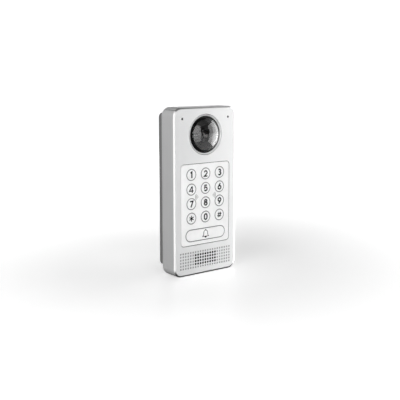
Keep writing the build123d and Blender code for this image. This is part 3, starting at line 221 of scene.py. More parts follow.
class Surface:
    """A Principled material with a few node helpers. Texture sizes are in metres."""

    def __init__(self, name):
        self.material = bpy.data.materials.new(name)
        self.material.use_nodes = True
        self.tree = self.material.node_tree
        self.shader = self.tree.nodes["Principled BSDF"]
        self.place = self.tree.nodes.new("ShaderNodeTexCoord")

    def node(self, kind, **settings):
        made = self.tree.nodes.new(kind)
        for key, value in settings.items():
            setattr(made, key, value)
        return made

    def link(self, source, target):
        self.tree.links.new(source, target)

    def stretched(self, x, y, z):
        """Coordinates squeezed along the axes, for grain that runs one way."""
        scale = self.node("ShaderNodeMapping")
        scale.inputs["Scale"].default_value = (x, y, z)
        self.link(self.place.outputs["Object"], scale.inputs["Vector"])
        return scale.outputs["Vector"]

    def noise(self, size, detail=3.0, rough=0.55, vector=None):
        """Noise whose features are about that size."""
        made = self.node("ShaderNodeTexNoise")
        made.inputs["Scale"].default_value = 1 / size
        made.inputs["Detail"].default_value = detail
        made.inputs["Roughness"].default_value = rough
        self.link(vector or self.place.outputs["Object"], made.inputs["Vector"])
        return made.outputs["Fac"]

    def ramp(self, value, stops):
        """Maps a value to colours or greys by (position, colour) stops."""
        made = self.node("ShaderNodeValToRGB")
        marks = made.color_ramp.elements
        while len(marks) < len(stops):
            marks.new(0.5)
        for mark, (position, tone) in zip(marks, stops):
            mark.position = position
            mark.color = (*tone, 1) if len(tone) == 3 else tone
        self.link(value, made.inputs["Fac"])
        return made.outputs["Color"]

    def remap(self, value, low, high, start=0.0, end=1.0):
        """Maps a value linearly onto a range."""
        made = self.node("ShaderNodeMapRange")
        for key, number in (("From Min", start), ("From Max", end), ("To Min", low), ("To Max", high)):
            made.inputs[key].default_value = number
        self.link(value, made.inputs["Value"])
        return made.outputs["Result"]

    def mixed(self, factor, first, second, blend="MIX"):
        """Mixes two colours by a factor; either may be a plain tuple."""
        made = self.node("ShaderNodeMix", data_type="RGBA", blend_type=blend)
        sockets = [s for s in made.inputs if s.type == "RGBA"]
        for socket, value in zip(sockets, (first, second)):
            if isinstance(value, tuple):
                socket.default_value = (*value, 1)
            else:
                self.link(value, socket)
        if isinstance(factor, float):
            made.inputs["Factor"].default_value = factor
        else:
            self.link(factor, made.inputs["Factor"])
        return [s for s in made.outputs if s.type == "RGBA"][0]

    def bump(self, height, strength, distance, before=None):
        """Adds a height to the surface's normal."""
        made = self.node("ShaderNodeBump")
        made.inputs["Strength"].default_value = strength
        made.inputs["Distance"].default_value = distance
        self.link(height, made.inputs["Height"])
        if before is not None:
            self.link(before, made.inputs["Normal"])
        return made.outputs["Normal"]

    def edges(self, radius):
        """A mask that is bright along the edges of a shape."""
        soft = self.node("ShaderNodeBevel", samples=6)
        soft.inputs["Radius"].default_value = radius
        flat = self.node("ShaderNodeNewGeometry")
        turn = self.node("ShaderNodeVectorMath", operation="DOT_PRODUCT")
        self.link(soft.outputs["Normal"], turn.inputs[0])
        self.link(flat.outputs["Normal"], turn.inputs[1])
        return self.remap(turn.outputs["Value"], 1.0, 0.0, 0.75, 1.0)


def painted_recess_shade(s, color, shade, start, reach, low, high):
    """Paints shade into a colour between two depths behind the face, inside a box seen from the front: holes
    and grooves darken where shade would fall.
    """
    place = s.node("ShaderNodeSeparateXYZ")
    s.link(s.place.outputs["Object"], place.inputs[0])
    mask = s.remap(place.outputs["Y"], 0.0, 1.0, FACE_Y + start, FACE_Y + reach)
    for axis, first, last in (("X", low.x, high.x), ("Z", low.z, high.z)):
        inside = s.node("ShaderNodeMath", operation="COMPARE")
        s.link(place.outputs[axis], inside.inputs[0])
        inside.inputs[1].default_value = (first + last) / 2
        inside.inputs[2].default_value = (last - first) / 2
        both = s.node("ShaderNodeMath", operation="MULTIPLY")
        s.link(mask, both.inputs[0])
        s.link(inside.outputs[0], both.inputs[1])
        mask = both.outputs[0]
    return s.mixed(mask, color, shade)


def tilted(s, degrees, reach):
    """A mask of the faces whose true normal is tilted by that angle from the front."""
    flat = s.node("ShaderNodeNewGeometry")
    parts = s.node("ShaderNodeSeparateXYZ")
    s.link(flat.outputs["True Normal"], parts.inputs[0])
    near = s.node("ShaderNodeMath", operation="COMPARE")
    s.link(parts.outputs["Y"], near.inputs[0])
    near.inputs[1].default_value = -math.cos(math.radians(degrees))
    near.inputs[2].default_value = reach
    return near.outputs[0]


def tone(value, warm=0.0):
    """A neutral grey, a touch warmer or cooler."""
    return (value * (1 + warm), value, value * (1 - warm))


def cast_paint(name, value, rough, metallic):
    """Satin metallic paint: fine orange peel, slight mottling and worn edges. Returns its surface."""
    s = Surface(name)
    mottle = s.noise(0.03, 2.0)
    base = s.ramp(mottle, [(0.3, tone(value * 0.975, -0.003)), (0.7, tone(value * 1.01, -0.003))])
    patches = s.ramp(s.noise(0.002, 4.0), [(0.35, (0, 0, 0)), (0.75, (0.5, 0.5, 0.5))])
    edge = s.node("ShaderNodeMath", operation="MULTIPLY")
    s.link(s.edges(0.0003), edge.inputs[0])
    s.link(patches, edge.inputs[1])
    s.color = s.mixed(edge.outputs[0], base, tone(min(1.0, value * 1.12)))
    s.link(s.color, s.shader.inputs["Base Color"])
    s.rough = s.remap(s.noise(0.012, 2.0), rough - 0.04, rough + 0.04)
    s.link(s.rough, s.shader.inputs["Roughness"])
    peel = s.bump(s.noise(0.00022, 2.0), 0.15, 0.00002)
    s.link(s.bump(s.noise(0.0015, 2.0), 0.06, 0.00003, peel), s.shader.inputs["Normal"])
    set_input(s.shader, Metallic=metallic, IOR=1.5, Coat_Weight=0.12, Coat_Roughness=0.2)
    return s


def casing_paint_with_shade(name, value, rough, metallic):
    """The casing's paint, with a bright cut bevel, and painted shade in its recesses: blind holes, grooves
    and open holes are darkened by depth.
    """
    s = cast_paint(name, value, rough, metallic)
    cut = tilted(s, BEVEL_TILT, 0.04)
    bright = s.mixed(cut, s.color, tone(0.5))
    low, high, _ = span("front_casing")
    rim = Vector((2.5 * MM, 0, 2.5 * MM))
    # Painted shade: the casing's holes and grooves turn dark grey with their depth behind the face.
    recess_shaded = painted_recess_shade(s, bright, tone(0.02), 0.05 * MM, 0.85 * MM, low + rim, high - rim)
    low, high, _ = span("speaker_mesh")
    # Painted shade: the walls of the open speaker holes turn nearly black just behind the face.
    s.link(painted_recess_shade(s, recess_shaded, tone(0.01), 0.05 * MM, 0.25 * MM, low, high), s.shader.inputs["Base Color"])
    s.link(s.remap(cut, metallic, 1.0), s.shader.inputs["Metallic"])
    s.link(s.mixed(cut, s.rough, (0.3, 0.3, 0.3)), s.shader.inputs["Roughness"])
    return s.material


def moulded(name, color, rough, grain=0.0004, depth=0.35, fine=0.00003):
    """Moulded plastic with a sparked texture and slight colour flow."""
    s = Surface(name)
    low = tuple(c * 0.95 for c in color)
    high = tuple(min(1.0, c * 1.04) for c in color)
    s.link(s.ramp(s.noise(0.012, 4.0), [(0.3, low), (0.7, high)]), s.shader.inputs["Base Color"])
    s.link(s.remap(s.noise(0.004, 4.0), rough - 0.06, rough + 0.08, 0.3, 0.7), s.shader.inputs["Roughness"])
    s.link(s.bump(s.noise(grain, 3.0, 0.6), depth, fine), s.shader.inputs["Normal"])
    set_input(s.shader, IOR=1.47)
    return s.material


def rubber(name):
    """Dark rubber with a dull, dusty skin."""
    s = Surface(name)
    dust = s.ramp(s.noise(0.003, 5.0), [(0.3, tone(0.012)), (0.75, tone(0.03, 0.02))])
    s.link(dust, s.shader.inputs["Base Color"])
    s.link(s.remap(s.noise(0.001, 4.0), 0.62, 0.85), s.shader.inputs["Roughness"])
    s.link(s.bump(s.noise(0.0003, 3.0), 0.3, 0.00002), s.shader.inputs["Normal"])
    set_input(s.shader, IOR=1.5, Specular_IOR_Level=0.35)
    return s.material


def metal(name, color, rough, along=(1, 1, 1), grain=0.0004, depth=0.12):
    """Metal with grain that can run one way, and faint handling marks."""
    s = Surface(name)
    line = s.noise(grain, 3.0, 0.6, s.stretched(*along))
    low = tuple(c * 0.88 for c in color)
    s.link(s.ramp(line, [(0.3, low), (0.7, color)]), s.shader.inputs["Base Color"])
    s.link(s.remap(s.noise(0.005, 5.0), rough - 0.06, rough + 0.12, 0.3, 0.75), s.shader.inputs["Roughness"])
    s.link(s.bump(line, depth, 0.00002), s.shader.inputs["Normal"])
    set_input(s.shader, Metallic=1.0)
    return s.material


def turned_metal(name, color, rough, x, z, metallic=1.0):
    """Turned metal: fine rings about the depth line at (x, z)."""
    s = Surface(name)
    shift = s.node("ShaderNodeMapping")
    shift.inputs["Location"].default_value = (-x, 0, -z)
    shift.inputs["Scale"].default_value = (1, 0, 1)
    s.link(s.place.outputs["Object"], shift.inputs["Vector"])
    length = s.node("ShaderNodeVectorMath", operation="LENGTH")
    s.link(shift.outputs["Vector"], length.inputs[0])
    rings = s.node("ShaderNodeTexNoise", noise_dimensions="1D")
    rings.inputs["Scale"].default_value = 1 / 0.00012
    rings.inputs["Detail"].default_value = 3.0
    s.link(length.outputs["Value"], rings.inputs["W"])
    low = tuple(c * 0.9 for c in color)
    s.link(s.ramp(rings.outputs["Fac"], [(0.3, low), (0.7, color)]), s.shader.inputs["Base Color"])
    s.link(s.remap(rings.outputs["Fac"], rough - 0.05, rough + 0.08), s.shader.inputs["Roughness"])
    s.link(s.bump(rings.outputs["Fac"], 0.15, 0.00001), s.shader.inputs["Normal"])
    set_input(s.shader, Metallic=metallic)
    return s.material


def dull_black(name, value, rough):
    """Matt black plastic that reflects little."""
    s = Surface(name)
    black = s.ramp(s.noise(0.002, 4.0), [(0.3, tone(value)), (0.7, tone(value * 1.8))])
    s.link(black, s.shader.inputs["Base Color"])
    s.link(s.remap(s.noise(0.001, 3.0), rough - 0.06, rough + 0.1, 0.3, 0.7), s.shader.inputs["Roughness"])
    s.link(s.bump(s.noise(0.0002, 3.0), 0.25, 0.00001), s.shader.inputs["Normal"])
    set_input(s.shader, Specular_IOR_Level=0.15)
    return s.material


def coated_lens(name):
    """Dark glass with a brown coating and a painted brown glint: the base colour is browner where the surface
    faces the viewer and darker at grazing angles.
    """
    s = Surface(name)
    facing = s.node("ShaderNodeLayerWeight")
    facing.inputs["Blend"].default_value = 0.4
    # Painted glint: the brown follows the angle to the viewer, not the lamps.
    tint_and_glint = s.ramp(facing.outputs["Facing"], [(0.0, (0.016, 0.007, 0.003)), (0.6, (0.005, 0.003, 0.003))])
    s.link(s.mixed(s.noise(0.003, 2.0), tint_and_glint, (0.008, 0.004, 0.003)), s.shader.inputs["Base Color"])
    s.link(s.remap(s.noise(0.004, 3.0), 0.01, 0.03), s.shader.inputs["Roughness"])
    set_input(s.shader, IOR=1.6)
    return s.material


def clear(name, color, ior, rough=0.0):
    """Clear glass or polycarbonate with the faintest smears."""
    s = Surface(name)
    s.link(s.remap(s.noise(0.008, 4.0), rough, rough + 0.003, 0.45, 0.85), s.shader.inputs["Roughness"])
    s.link(s.mixed(s.noise(0.01, 2.0), color, tuple(c * 0.985 for c in color)), s.shader.inputs["Base Color"])
    set_input(s.shader, Transmission_Weight=1.0, IOR=ior)
    return s.material


def milky(name, color):
    """Translucent diffuser plastic."""
    s = Surface(name)
    cloudy = s.ramp(s.noise(0.002, 3.0), [(0.3, tuple(c * 0.94 for c in color)), (0.7, color)])
    s.link(cloudy, s.shader.inputs["Base Color"])
    s.link(s.remap(s.noise(0.001, 3.0), 0.32, 0.45), s.shader.inputs["Roughness"])
    s.link(s.bump(s.noise(0.0003, 2.0), 0.15, 0.00001), s.shader.inputs["Normal"])
    set_input(s.shader, IOR=1.49, Transmission_Weight=0.15, Subsurface_Weight=0.2, Subsurface_Scale=0.0006)
    return s.material


def ink(name, value):
    """Screen-printed ink: nearly flat, with a fine uneven sheen."""
    s = Surface(name)
    uneven = s.ramp(s.noise(0.0004, 3.0), [(0.3, tone(value * 0.9)), (0.7, tone(value * 1.08))])
    s.link(uneven, s.shader.inputs["Base Color"])
    s.link(s.remap(s.noise(0.0003, 3.0), 0.5, 0.65), s.shader.inputs["Roughness"])
    s.link(s.bump(s.noise(0.00012, 2.0), 0.2, 0.000006), s.shader.inputs["Normal"])
    set_input(s.shader, Specular_IOR_Level=0.2)
    return s.material


def circuit(name):
    """Green solder mask over copper lanes."""
    s = Surface(name)
    lanes = s.node("ShaderNodeTexBrick")
    lanes.inputs["Scale"].default_value = 1.0
    lanes.inputs["Brick Width"].default_value = 0.0041
    lanes.inputs["Row Height"].default_value = 0.0011
    lanes.inputs["Mortar Size"].default_value = 0.00016
    flat = s.node("ShaderNodeSeparateXYZ")
    s.link(s.place.outputs["Object"], flat.inputs[0])
    pair = s.node("ShaderNodeCombineXYZ")
    s.link(flat.outputs["X"], pair.inputs["X"])
    s.link(flat.outputs["Z"], pair.inputs["Y"])
    s.link(pair.outputs[0], lanes.inputs["Vector"])
    mask = s.ramp(lanes.outputs["Fac"], [(0.4, (0.006, 0.075, 0.028)), (0.6, (0.02, 0.17, 0.06))])
    s.link(s.mixed(s.noise(0.01, 3.0), mask, (0.01, 0.10, 0.04)), s.shader.inputs["Base Color"])
    s.link(s.remap(s.noise(0.003, 3.0), 0.25, 0.4), s.shader.inputs["Roughness"])
    s.link(s.bump(lanes.outputs["Fac"], 0.3, 0.00003), s.shader.inputs["Normal"])
    set_input(s.shader, Coat_Weight=0.3, Coat_Roughness=0.2)
    return s.material


LENS_X, LENS_Z = span("lens_bezel")[2].x, span("lens_bezel")[2].z
BEVEL_DEEP, BEVEL_WIDE = 0.8, 1.7
BEVEL_TILT = math.degrees(math.atan2(BEVEL_DEEP, BEVEL_WIDE))
FACE_Y = span("front_casing")[0].y
MATERIALS = {
    "casing": casing_paint_with_shade("casing_paint_with_shade", 0.79, 0.30, 0.24),
    "shell": cast_paint("shell_paint", 0.76, 0.36, 0.2).material,
    "bracket": moulded("bracket_plastic", tone(0.26), 0.55),
    "panel": moulded("panel_film", tone(0.94), 0.42, 0.00025, 0.18, 0.00001),
    "key_cap": moulded("key_plastic", tone(0.94), 0.4, 0.0003, 0.15, 0.00001),
    "light_guide": milky("ring_diffuser", tone(0.20)),
    "bezel": turned_metal("bezel_metal", (0.88, 0.885, 0.89), 0.36, LENS_X, LENS_Z, 0.15),
    "black_trim": dull_black("black_trim", 0.004, 0.4),
    "clear_dome": clear("dome_glass", (1.0, 1.0, 1.0), 1.5),
    "seal": rubber("seal_rubber"),
    "baffle": dull_black("baffle_black", 0.02, 0.35),
    "black_anodised": dull_black("black_anodised", 0.006, 0.3),
    "lens_glass": coated_lens("coated_glass"),
    "board": circuit("circuit_board"),
    "sheet_metal": metal("sheet_metal", (0.62, 0.62, 0.61), 0.35, (1, 1, 0.05)),
    "ribbon": moulded("ribbon_film", (0.72, 0.60, 0.38), 0.4),
    "black_part": moulded("black_plastic", tone(0.015), 0.45),
    "lamp": milky("lamp_body", (0.85, 0.82, 0.6)),
    "copper": metal("copper_track", (0.80, 0.42, 0.25), 0.35),
    "cone": moulded("cone_paper", tone(0.03), 0.8, 0.0003, 0.6),
    "dust_mesh": dull_black("mesh_weave", 0.006, 0.7),
    "magnet": metal("magnet_steel", (0.30, 0.30, 0.31), 0.4),
    "sensor": dull_black("sensor_resin", 0.006, 0.3),
    "can": metal("can_metal", (0.72, 0.72, 0.74), 0.28),
    "socket": moulded("socket_nylon", (0.72, 0.69, 0.6), 0.45),
    "jack": moulded("jack_plastic", tone(0.02), 0.4),
    "terminal": moulded("terminal_plastic", (0.03, 0.24, 0.07), 0.38),
    "lead": rubber("lead_sleeve"),
    "screw": metal("screw_steel", (0.60, 0.59, 0.56), 0.3),
}
for part in frame["record"]["subparts"]:
    mesh = NODES[part["node"]].data
    mesh.materials.clear()
    mesh.materials.append(MATERIALS[part["material_slot"]])


def finish_piece(piece, material, body):
    """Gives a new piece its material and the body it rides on."""
    piece.data.materials.clear()
    piece.data.materials.append(material)
    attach(piece, body)
    return piece


# ======== printed marks ========

PEN = 1.55 * MM
THINNER = {"star": 0.72, "hash": 0.66, "4": 0.78, "2": 0.84}  # marks drawn with a finer pen
INK_UP, INK_IN = 0.03 * MM, 0.02 * MM


def mm(points):
    """Points given in millimetres."""
    return [(x * MM, z * MM) for x, z in points]


TURN_64 = [2 * math.pi * i / 64 for i in range(64)]


def squared(value):
    """A sine or cosine that makes a circle slightly square."""
    return math.copysign(abs(value) ** 0.87, value)


def digit_strokes():
    """Pen strokes of every key mark, about its middle, in millimetres; True closes a stroke."""
    six_bowl = arc(0, -1.05, 1.775, 0, 360, 48)
    six = [(six_bowl, True), ([(-1.429, 0.0), (1.0, 3.3)], False)]
    oval = [(1.75 * squared(math.cos(a)), 2.825 * squared(math.sin(a))) for a in TURN_64]
    return {
        "0": [(oval, True)],
        "1": [([(-1.15, 1.95), (0.45, 2.95), (0.45, -3.3)], False)],
        "2": [(arc(0, 1.0, 1.75, 172, -38) + [(-1.75, -2.75), (2.1, -2.75)], False)],
        "3": [
            (arc(0, 1.54, 1.29, 160, -90) + [(-0.6, 0.25)], False),
            ([(-0.6, 0.25)] + arc(0, -1.29, 1.54, 90, -155), False),
        ],
        "4": [([(0.7, 3.1), (-2.6, -1.45), (2.4, -1.45)], False), ([(0.95, 3.3), (0.95, -3.3)], False)],
        "5": [([(1.6, 2.825), (-1.05, 2.825), (-1.37, 0.3)] + arc(-0.1, -1.0, 1.825, 128, -152), False)],
        "6": six,
        "7": [([(-1.9, 2.825), (1.75, 2.825), (-0.75, -3.3)], False)],
        "8": [(arc(0, 1.46, 1.36, 0, 360, 48), True), (arc(0, -1.2, 1.62, 0, 360, 48), True)],
        "9": [([(-x, -z) for x, z in path], closed) for path, closed in six],
        "star": [
            ([(3.0 * math.cos(a), 3.0 * math.sin(a)), (-3.0 * math.cos(a), -3.0 * math.sin(a))], False)
            for a in (math.radians(d) for d in (90, 30, -30))
        ],
        "hash": [
            ([(-1.6, -2.8), (-0.5, 2.8)], False),
            ([(0.5, -2.8), (1.6, 2.8)], False),
            ([(-2.7, -1.0), (2.3, -1.0)], False),
            ([(-2.3, 1.0), (2.7, 1.0)], False),
        ],
    }


BLACK_INK = ink("black_ink", 0.006)
GREY_INK = ink("grey_ink", 0.05)
FAINT_INK = ink("faint_ink", 0.2)
for mark, strokes in digit_strokes().items():
    low, high, middle = span(f"key_{mark}")
    top = -low.y
    pen = PEN * THINNER.get(mark, 1.0)
    paths = [(mm(path), closed) for path, closed in strokes]
    piece = drawn(f"mark_{mark}", paths, pen, middle.x, middle.z, top - INK_IN, top + INK_UP)
    finish_piece(piece, BLACK_INK, f"key_{mark}_body")

bell_low, _, bell_middle = span("bell_key")
bell_top = -bell_low.y
bell_side = [(2.55, 1.2), (2.62, -0.6), (3.1, -1.7), (4.0, -2.7)]
bell_path = arc(0, 1.2, 2.55, 180, 0, 24, 2.6) + bell_side[1:] + [(-x, z) for x, z in bell_side[1:]][::-1]
bell = [(mm(bell_path), True), (mm(arc(0, 4.1, 0.42, 0, 360, 20)), True)]
outline = drawn(
    "bell_outline", bell, 0.65 * MM, bell_middle.x, bell_middle.z, bell_top - INK_IN, bell_top + INK_UP
)
finish_piece(outline, GREY_INK, "bell_key_body")
tongue_ring = [(bell_middle.x + x, bell_middle.z + z) for x, z in mm(arc(0, -2.95, 1.45, 180, 360, 24, 1.25))]
tongue = sheet_solid("bell_tongue", [tongue_ring], bell_top - INK_IN, bell_top + INK_UP)
finish_piece(tongue, BLACK_INK, "bell_key_body")

panel_low = span("keypad_panel")[0]
WAVE_X, WAVE_Z = 10.8 * MM, -4.9 * MM
for side, name in ((-1, "reader_mark_left"), (1, "reader_mark_right")):
    waves = []
    for radius in (1.5, 3.0, 4.5):
        path = arc(-2.3, 0, radius, -42, 42, 12)
        waves.append(([(side * x * MM, z * MM) for x, z in path], False))
    piece = drawn(name, waves, 0.55 * MM, side * WAVE_X, WAVE_Z, -panel_low.y - INK_IN, -panel_low.y + INK_UP)
    finish_piece(piece, FAINT_INK, UNIT)

# ======== camera ========


def front(node):
    """The level of a node's front."""
    return -span(node)[0].y


def back(node):
    """The level of a node's rear."""
    return -span(node)[1].y


def radius(node):
    """Half the width of a round node."""
    low, high, _ = span(node)
    return (high.x - low.x) / 2


def camera_piece(name, outline, material, replaced, degrees=35):
    """A turned piece about the camera's axis that stands for a node of the model."""
    piece = lathe(name, outline, LENS_X, LENS_Z, 160, degrees)
    finish_piece(piece, MATERIALS[material], UNIT)
    if replaced:
        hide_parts(replaced)
    return piece


# The dome: two nested parts of a ball, on the flange that holds it.
DOME_R = 16.9 * MM
DOME_WALL = 1.5 * MM
DOME_BALL = 29.0 * MM
DOME_ROUND = 0.5 * MM
FLANGE = 1.4 * MM
apex, seat = front("dome_cover"), back("dome_cover")
outer = ball_arc(DOME_BALL, apex, 0, DOME_R - DOME_ROUND, 40)
inner = ball_arc(DOME_BALL - DOME_WALL, apex - DOME_WALL, DOME_R - DOME_WALL, 0, 40)
rim = [(DOME_R, outer[-1][1] - DOME_ROUND), (DOME_R, seat + FLANGE), (radius("dome_cover"), seat + FLANGE)]
rim += [(radius("dome_cover"), seat), (DOME_R - DOME_WALL, seat)]
camera_piece("dome_glass", outer + rim + inner, "clear_dome", "dome_cover", 40)

# The bright ring: a narrow land with softened edges, then a turned slope down to the dome.
ring_r, ring_top, ring_back = radius("lens_bezel"), front("lens_bezel"), back("lens_bezel")
ring_hole, ring_inner, ring_land, ring_soft = 18.9 * MM, ring_top - 1.3 * MM, ring_r - 0.4 * MM, 0.1 * MM
slope = (ring_top - ring_inner) / (ring_land - ring_hole)
bezel = [(ring_hole, ring_back), (ring_hole, ring_inner - ring_soft)]
bezel += [(ring_hole + ring_soft, ring_inner + slope * ring_soft)]
bezel += [(ring_land - ring_soft, ring_top - slope * ring_soft), (ring_land + ring_soft, ring_top)]
bezel += [(ring_r - ring_soft, ring_top), (ring_r, ring_top - ring_soft), (ring_r, ring_back)]
camera_piece("bezel_ring", bezel, "bezel", "lens_bezel", 30)

# The funnel round the lens: fine ridges that catch the light.
RIDGES, RIDGE_LIP, RIDGE_START, FUNNEL_R, FUNNEL_FLOOR = 9, 0.16 * MM, 1.0 * MM, 7.6 * MM, 0.8 * MM
baffle_r, baffle_top, baffle_back = radius("lens_baffle"), front("lens_baffle"), back("lens_baffle")
first_ridge = baffle_r - RIDGE_START
ridge_wide = (first_ridge - FUNNEL_R) / RIDGES
ridge_deep = (baffle_top - baffle_back - FUNNEL_FLOOR) / RIDGES
funnel = [(FUNNEL_R, baffle_back), (baffle_r, baffle_back), (baffle_r, baffle_top)]
for ridge in range(RIDGES):
    ridge_r, ridge_top = first_ridge - ridge * ridge_wide, baffle_top - ridge * ridge_deep
    funnel += [(ridge_r + RIDGE_LIP, ridge_top), (ridge_r, ridge_top - RIDGE_LIP)]
    funnel += [(ridge_r, ridge_top - ridge_deep)]
funnel.append((FUNNEL_R, baffle_top - RIDGES * ridge_deep))
camera_piece("baffle_ridges", funnel, "baffle", "lens_baffle", 25)

# The lens: a strongly curved front element behind a threaded retaining ring.
LENS_R, LENS_BALL, THREADS, THREAD_DEEP = 4.2 * MM, 5.2 * MM, 5, 0.12 * MM
lens_apex, lens_back, lens_bore = front("front_lens"), back("front_lens"), radius("front_lens")
glass = ball_arc(LENS_BALL, lens_apex, 0, LENS_R, 24)
glass += [(LENS_R, lens_back), (0, lens_back)]
camera_piece("lens_element", glass, "lens_glass", "front_lens", 60)
ring_low, ring_high = glass[24][1] - 0.2 * MM, front("lens_barrel") - 0.5 * MM
thread = (ring_high - ring_low) / THREADS
retainer = [(LENS_R + 0.01 * MM, ring_low)]
for turn in range(THREADS):
    bore = LENS_R + 0.05 * MM + (lens_bore - LENS_R - 0.4 * MM) * turn / THREADS
    retainer += [(bore, ring_low + (turn + 0.5) * thread)]
    retainer += [(bore + THREAD_DEEP, ring_low + (turn + 1) * thread)]
retainer += [(lens_bore - 0.02 * MM, ring_high), (lens_bore - 0.02 * MM, ring_low)]
camera_piece("lens_retainer", retainer, "black_anodised", None, 25)

# ======== wiring bay ========


def bent_wires(name, path, thick, wide, places):
    """Flat wires that follow one path of (level, z), at several places across."""
    outline = stroke_rings(path, thick)[0]
    shape = bmesh.new()
    for place in places:
        sides = []
        for x in (place - wide / 2, place + wide / 2):
            sides.append([shape.verts.new((x, -level, z)) for level, z in outline])
            shape.faces.new(sides[-1])
        for i in range(len(outline)):
            j = (i + 1) % len(outline)
            shape.faces.new((sides[0][i], sides[0][j], sides[1][j], sides[1][i]))
    bmesh.ops.recalc_face_normals(shape, faces=shape.faces)
    mesh = bpy.data.meshes.new(name)
    shape.to_mesh(mesh)
    shape.free()
    return new_object(name, mesh)


# Eight sprung contacts in the network socket.
JACK_FLOOR, JACK_ENTRY, CONTACTS, CONTACT_PITCH = 2.0 * MM, 2.0 * MM, 8, 1.02 * MM
jack_low, _, jack_middle = span("network_jack")
contact_floor, contact_z = back("network_jack") + JACK_FLOOR, jack_low.z + JACK_ENTRY
contact_path = [(0.2, 0.0), (0.3, 2.2), (1.9, 4.2), (3.0, 9.5), (2.6, 11.9)]
contact_path = [(contact_floor + level, contact_z + z) for level, z in mm(contact_path)]
contact_places = [jack_middle.x + (i - (CONTACTS - 1) / 2) * CONTACT_PITCH for i in range(CONTACTS)]
contacts = bent_wires("socket_contacts", contact_path, 0.25 * MM, 0.4 * MM, contact_places)
finish_piece(contacts, MATERIALS["copper"], UNIT)

# A slotted clamp screw for each way of the two plugs.
WAYS, WAY_PITCH, SCREW_HOLE_Z, HOLE_DEEP, PLUG_HALF = 6, 3.81 * MM, 2.0 * MM, 4.0 * MM, 4.6 * MM
HEAD_R, HALF_R, HEAD_TALL, SLOT_HALF, SLOT_DEEP = 1.2 * MM, 1.15 * MM, 0.9 * MM, 12, 0.4 * MM
plugs_low, plugs_high, plugs_middle = span("terminal_plugs")
hole_floor = back("terminal_plugs") + HOLE_DEEP
heads, halves = [], []
for plug_z in (plugs_low.z + PLUG_HALF, plugs_high.z - PLUG_HALF):
    for way in range(WAYS):
        x = plugs_middle.x + (way - (WAYS - 1) / 2) * WAY_PITCH
        z = plug_z + SCREW_HOLE_Z
        heads.append(arc(x, z, HEAD_R, 0, 360, 32)[:-1])
        for start in (0, 180):
            halves.append(arc(x, z, HALF_R, start + SLOT_HALF, start + 180 - SLOT_HALF, 16))
bases = sheet_solid("clamp_screws", heads, hole_floor + SLOT_DEEP - HEAD_TALL, hole_floor)
tops = sheet_solid("clamp_screw_slots", halves, hole_floor - HEAD_TALL, hole_floor + SLOT_DEEP - HEAD_TALL)
for piece in (bases, tops):
    finish_piece(piece, MATERIALS["screw"], UNIT)

# ======== stage, camera and lights ========

FLOOR_Z = cad_bounds[0][2]
AZIMUTH, ELEVATION, DISTANCE = -37.376, 10.047, 0.78397
AIM_DEPTH, AIM_RIGHT, AIM_UP = 17 * MM, 5.81 * MM, -11.633 * MM
FOCAL, SENSOR = 67.25, 36.0
FLOOR_R, WALL_H, WALL_BEND = 2.2, 2.4, 0.6
GLOW_REACH = (0.15, 0.55)
FLOOR_GLOW, WALL_GLOW, AMBIENT = 0.41, 1.05, 0.07
BOX_DISTANCE = 1.1


def direction(azimuth, elevation):
    """The unit vector from the object towards an azimuth and elevation; azimuth 0 is the front."""
    turn, tilt = math.radians(azimuth), math.radians(elevation)
    return Vector((math.sin(turn) * math.cos(tilt), -math.cos(turn) * math.cos(tilt), math.sin(tilt)))


def stage_paint(name, near, far):
    """Pale matt studio paint, lit from behind more and more with the distance from the object."""
    s = Surface(name)
    s.link(s.ramp(s.noise(0.3, 2.0), [(0.3, tone(0.85)), (0.7, tone(0.86))]), s.shader.inputs["Base Color"])
    s.link(s.remap(s.noise(0.05, 3.0), 0.30, 0.36), s.shader.inputs["Roughness"])
    away = s.node("ShaderNodeVectorMath", operation="LENGTH")
    s.link(s.place.outputs["Object"], away.inputs[0])
    s.link(s.remap(away.outputs["Value"], near, far, *GLOW_REACH), s.shader.inputs["Emission Strength"])
    set_input(s.shader, Emission_Color=(1, 1, 1, 1), Specular_IOR_Level=0.3)
    return s.material


def turned_sheet(name, outline, turns=96):
    """An open surface turned about Z from (radius, height) points."""
    shape = bmesh.new()
    rings = []
    for radius, height in outline:
        angles = [2 * math.pi * i / turns for i in range(turns)]
        rings.append([shape.verts.new((radius * math.cos(a), radius * math.sin(a), height)) for a in angles])
    for ring, after in zip(rings, rings[1:]):
        for i in range(turns):
            j = (i + 1) % turns
            shape.faces.new((ring[i], ring[j], after[j], after[i]))
    if outline[0][0] < 0.2:
        shape.faces.new(rings[0])
    mesh = bpy.data.meshes.new(name)
    shape.to_mesh(mesh)
    shape.free()
    smooth(mesh, 60)
    return new_object(name, mesh)


def add_stage():
    """A round pale floor and a round wall that curves up from it."""
    floor = turned_sheet("stage_floor", [(0.1, FLOOR_Z), (0.6, FLOOR_Z), (FLOOR_R, FLOOR_Z)])
    floor.data.materials.append(stage_paint("floor_paint", FLOOR_GLOW, WALL_GLOW))
    floor.visible_diffuse = False
    floor.visible_glossy = False
    bend = [math.pi / 2 * i / 12 for i in range(13)]
    outline = [(FLOOR_R + WALL_BEND * math.sin(a), FLOOR_Z + WALL_BEND * (1 - math.cos(a))) for a in bend]
    wall = turned_sheet("stage_wall", outline + [(FLOOR_R + WALL_BEND, WALL_H)])
    wall.data.materials.append(stage_paint("wall_paint", WALL_GLOW, WALL_GLOW))
    wall.visible_diffuse = False
    wall.visible_glossy = False
    wall.visible_transmission = False
    wall.visible_shadow = False


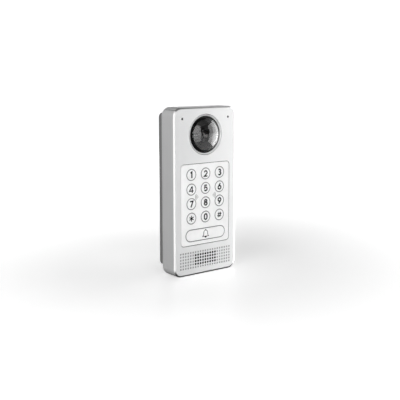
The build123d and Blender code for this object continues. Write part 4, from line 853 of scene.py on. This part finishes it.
def add_camera():
    """The camera at the picture's angle."""
    back = direction(AZIMUTH, ELEVATION)
    turn = math.radians(AZIMUTH)
    right = Vector((math.cos(turn), math.sin(turn), 0))
    up = back.cross(right)
    data = bpy.data.cameras.new("camera")
    data.lens = FOCAL
    data.sensor_width = SENSOR
    data.clip_start = 0.01
    camera = bpy.data.objects.new("camera", data)
    bpy.context.scene.collection.objects.link(camera)
    place = Vector((0, -AIM_DEPTH, 0)) + back * DISTANCE + right * AIM_RIGHT + up * AIM_UP
    camera.matrix_world = Matrix.Translation(place) @ Matrix((right, up, back)).transposed().to_4x4()
    bpy.context.scene.camera = camera


def add_softbox(name, azimuth_from, azimuth_to, low, high, radiance, through_glass, only_shine=False):
    """A soft box that spans those angles round the object and those heights, and faces the object.

    It may be hidden from rays through glass, or be seen only as a shine.
    """
    spread = math.radians(azimuth_to - azimuth_from) / 2
    wide, tall = 2 * BOX_DISTANCE * math.tan(spread), high - low
    away = direction((azimuth_from + azimuth_to) / 2, 0)
    data = bpy.data.lights.new(name, "AREA")
    data.shape = "RECTANGLE"
    data.size, data.size_y = wide, tall
    data.energy = radiance * math.pi * wide * tall
    light = bpy.data.objects.new(name, data)
    bpy.context.scene.collection.objects.link(light)
    light.location = away * BOX_DISTANCE + Vector((0, 0, (high + low) / 2))
    light.rotation_euler = away.to_track_quat("Z", "Y").to_euler()
    light.visible_transmission = through_glass
    light.visible_diffuse = not only_shine


SOFTBOXES = [  # name, azimuths, heights, radiance, seen through glass, seen only as a shine
    ("front_softbox", -36, 1, -0.60, 0.80, 2.25, True),
    ("right_softbox", 39, 104, -0.60, 0.62, 2.9, False),
    ("rim_softbox", 58, 104, -0.60, 0.62, 2.4, False, True),
    ("rear_softbox", 138, 176, -0.50, 0.30, 1.2, False),
    ("upper_softbox", 46, 104, 0.62, 1.25, 0.6, False),
    ("left_softbox", -86, -46, -0.20, 0.80, 4.0, False),
]
add_stage()
add_camera()
for softbox in SOFTBOXES:
    add_softbox(*softbox)
world = bpy.data.worlds.new("world")
bpy.context.scene.world = world
world.use_nodes = True
world.node_tree.nodes["Background"].inputs["Color"].default_value = (1, 1, 1, 1)
world.node_tree.nodes["Background"].inputs["Strength"].default_value = AMBIENT
bpy.context.scene.view_settings.view_transform = "Standard"
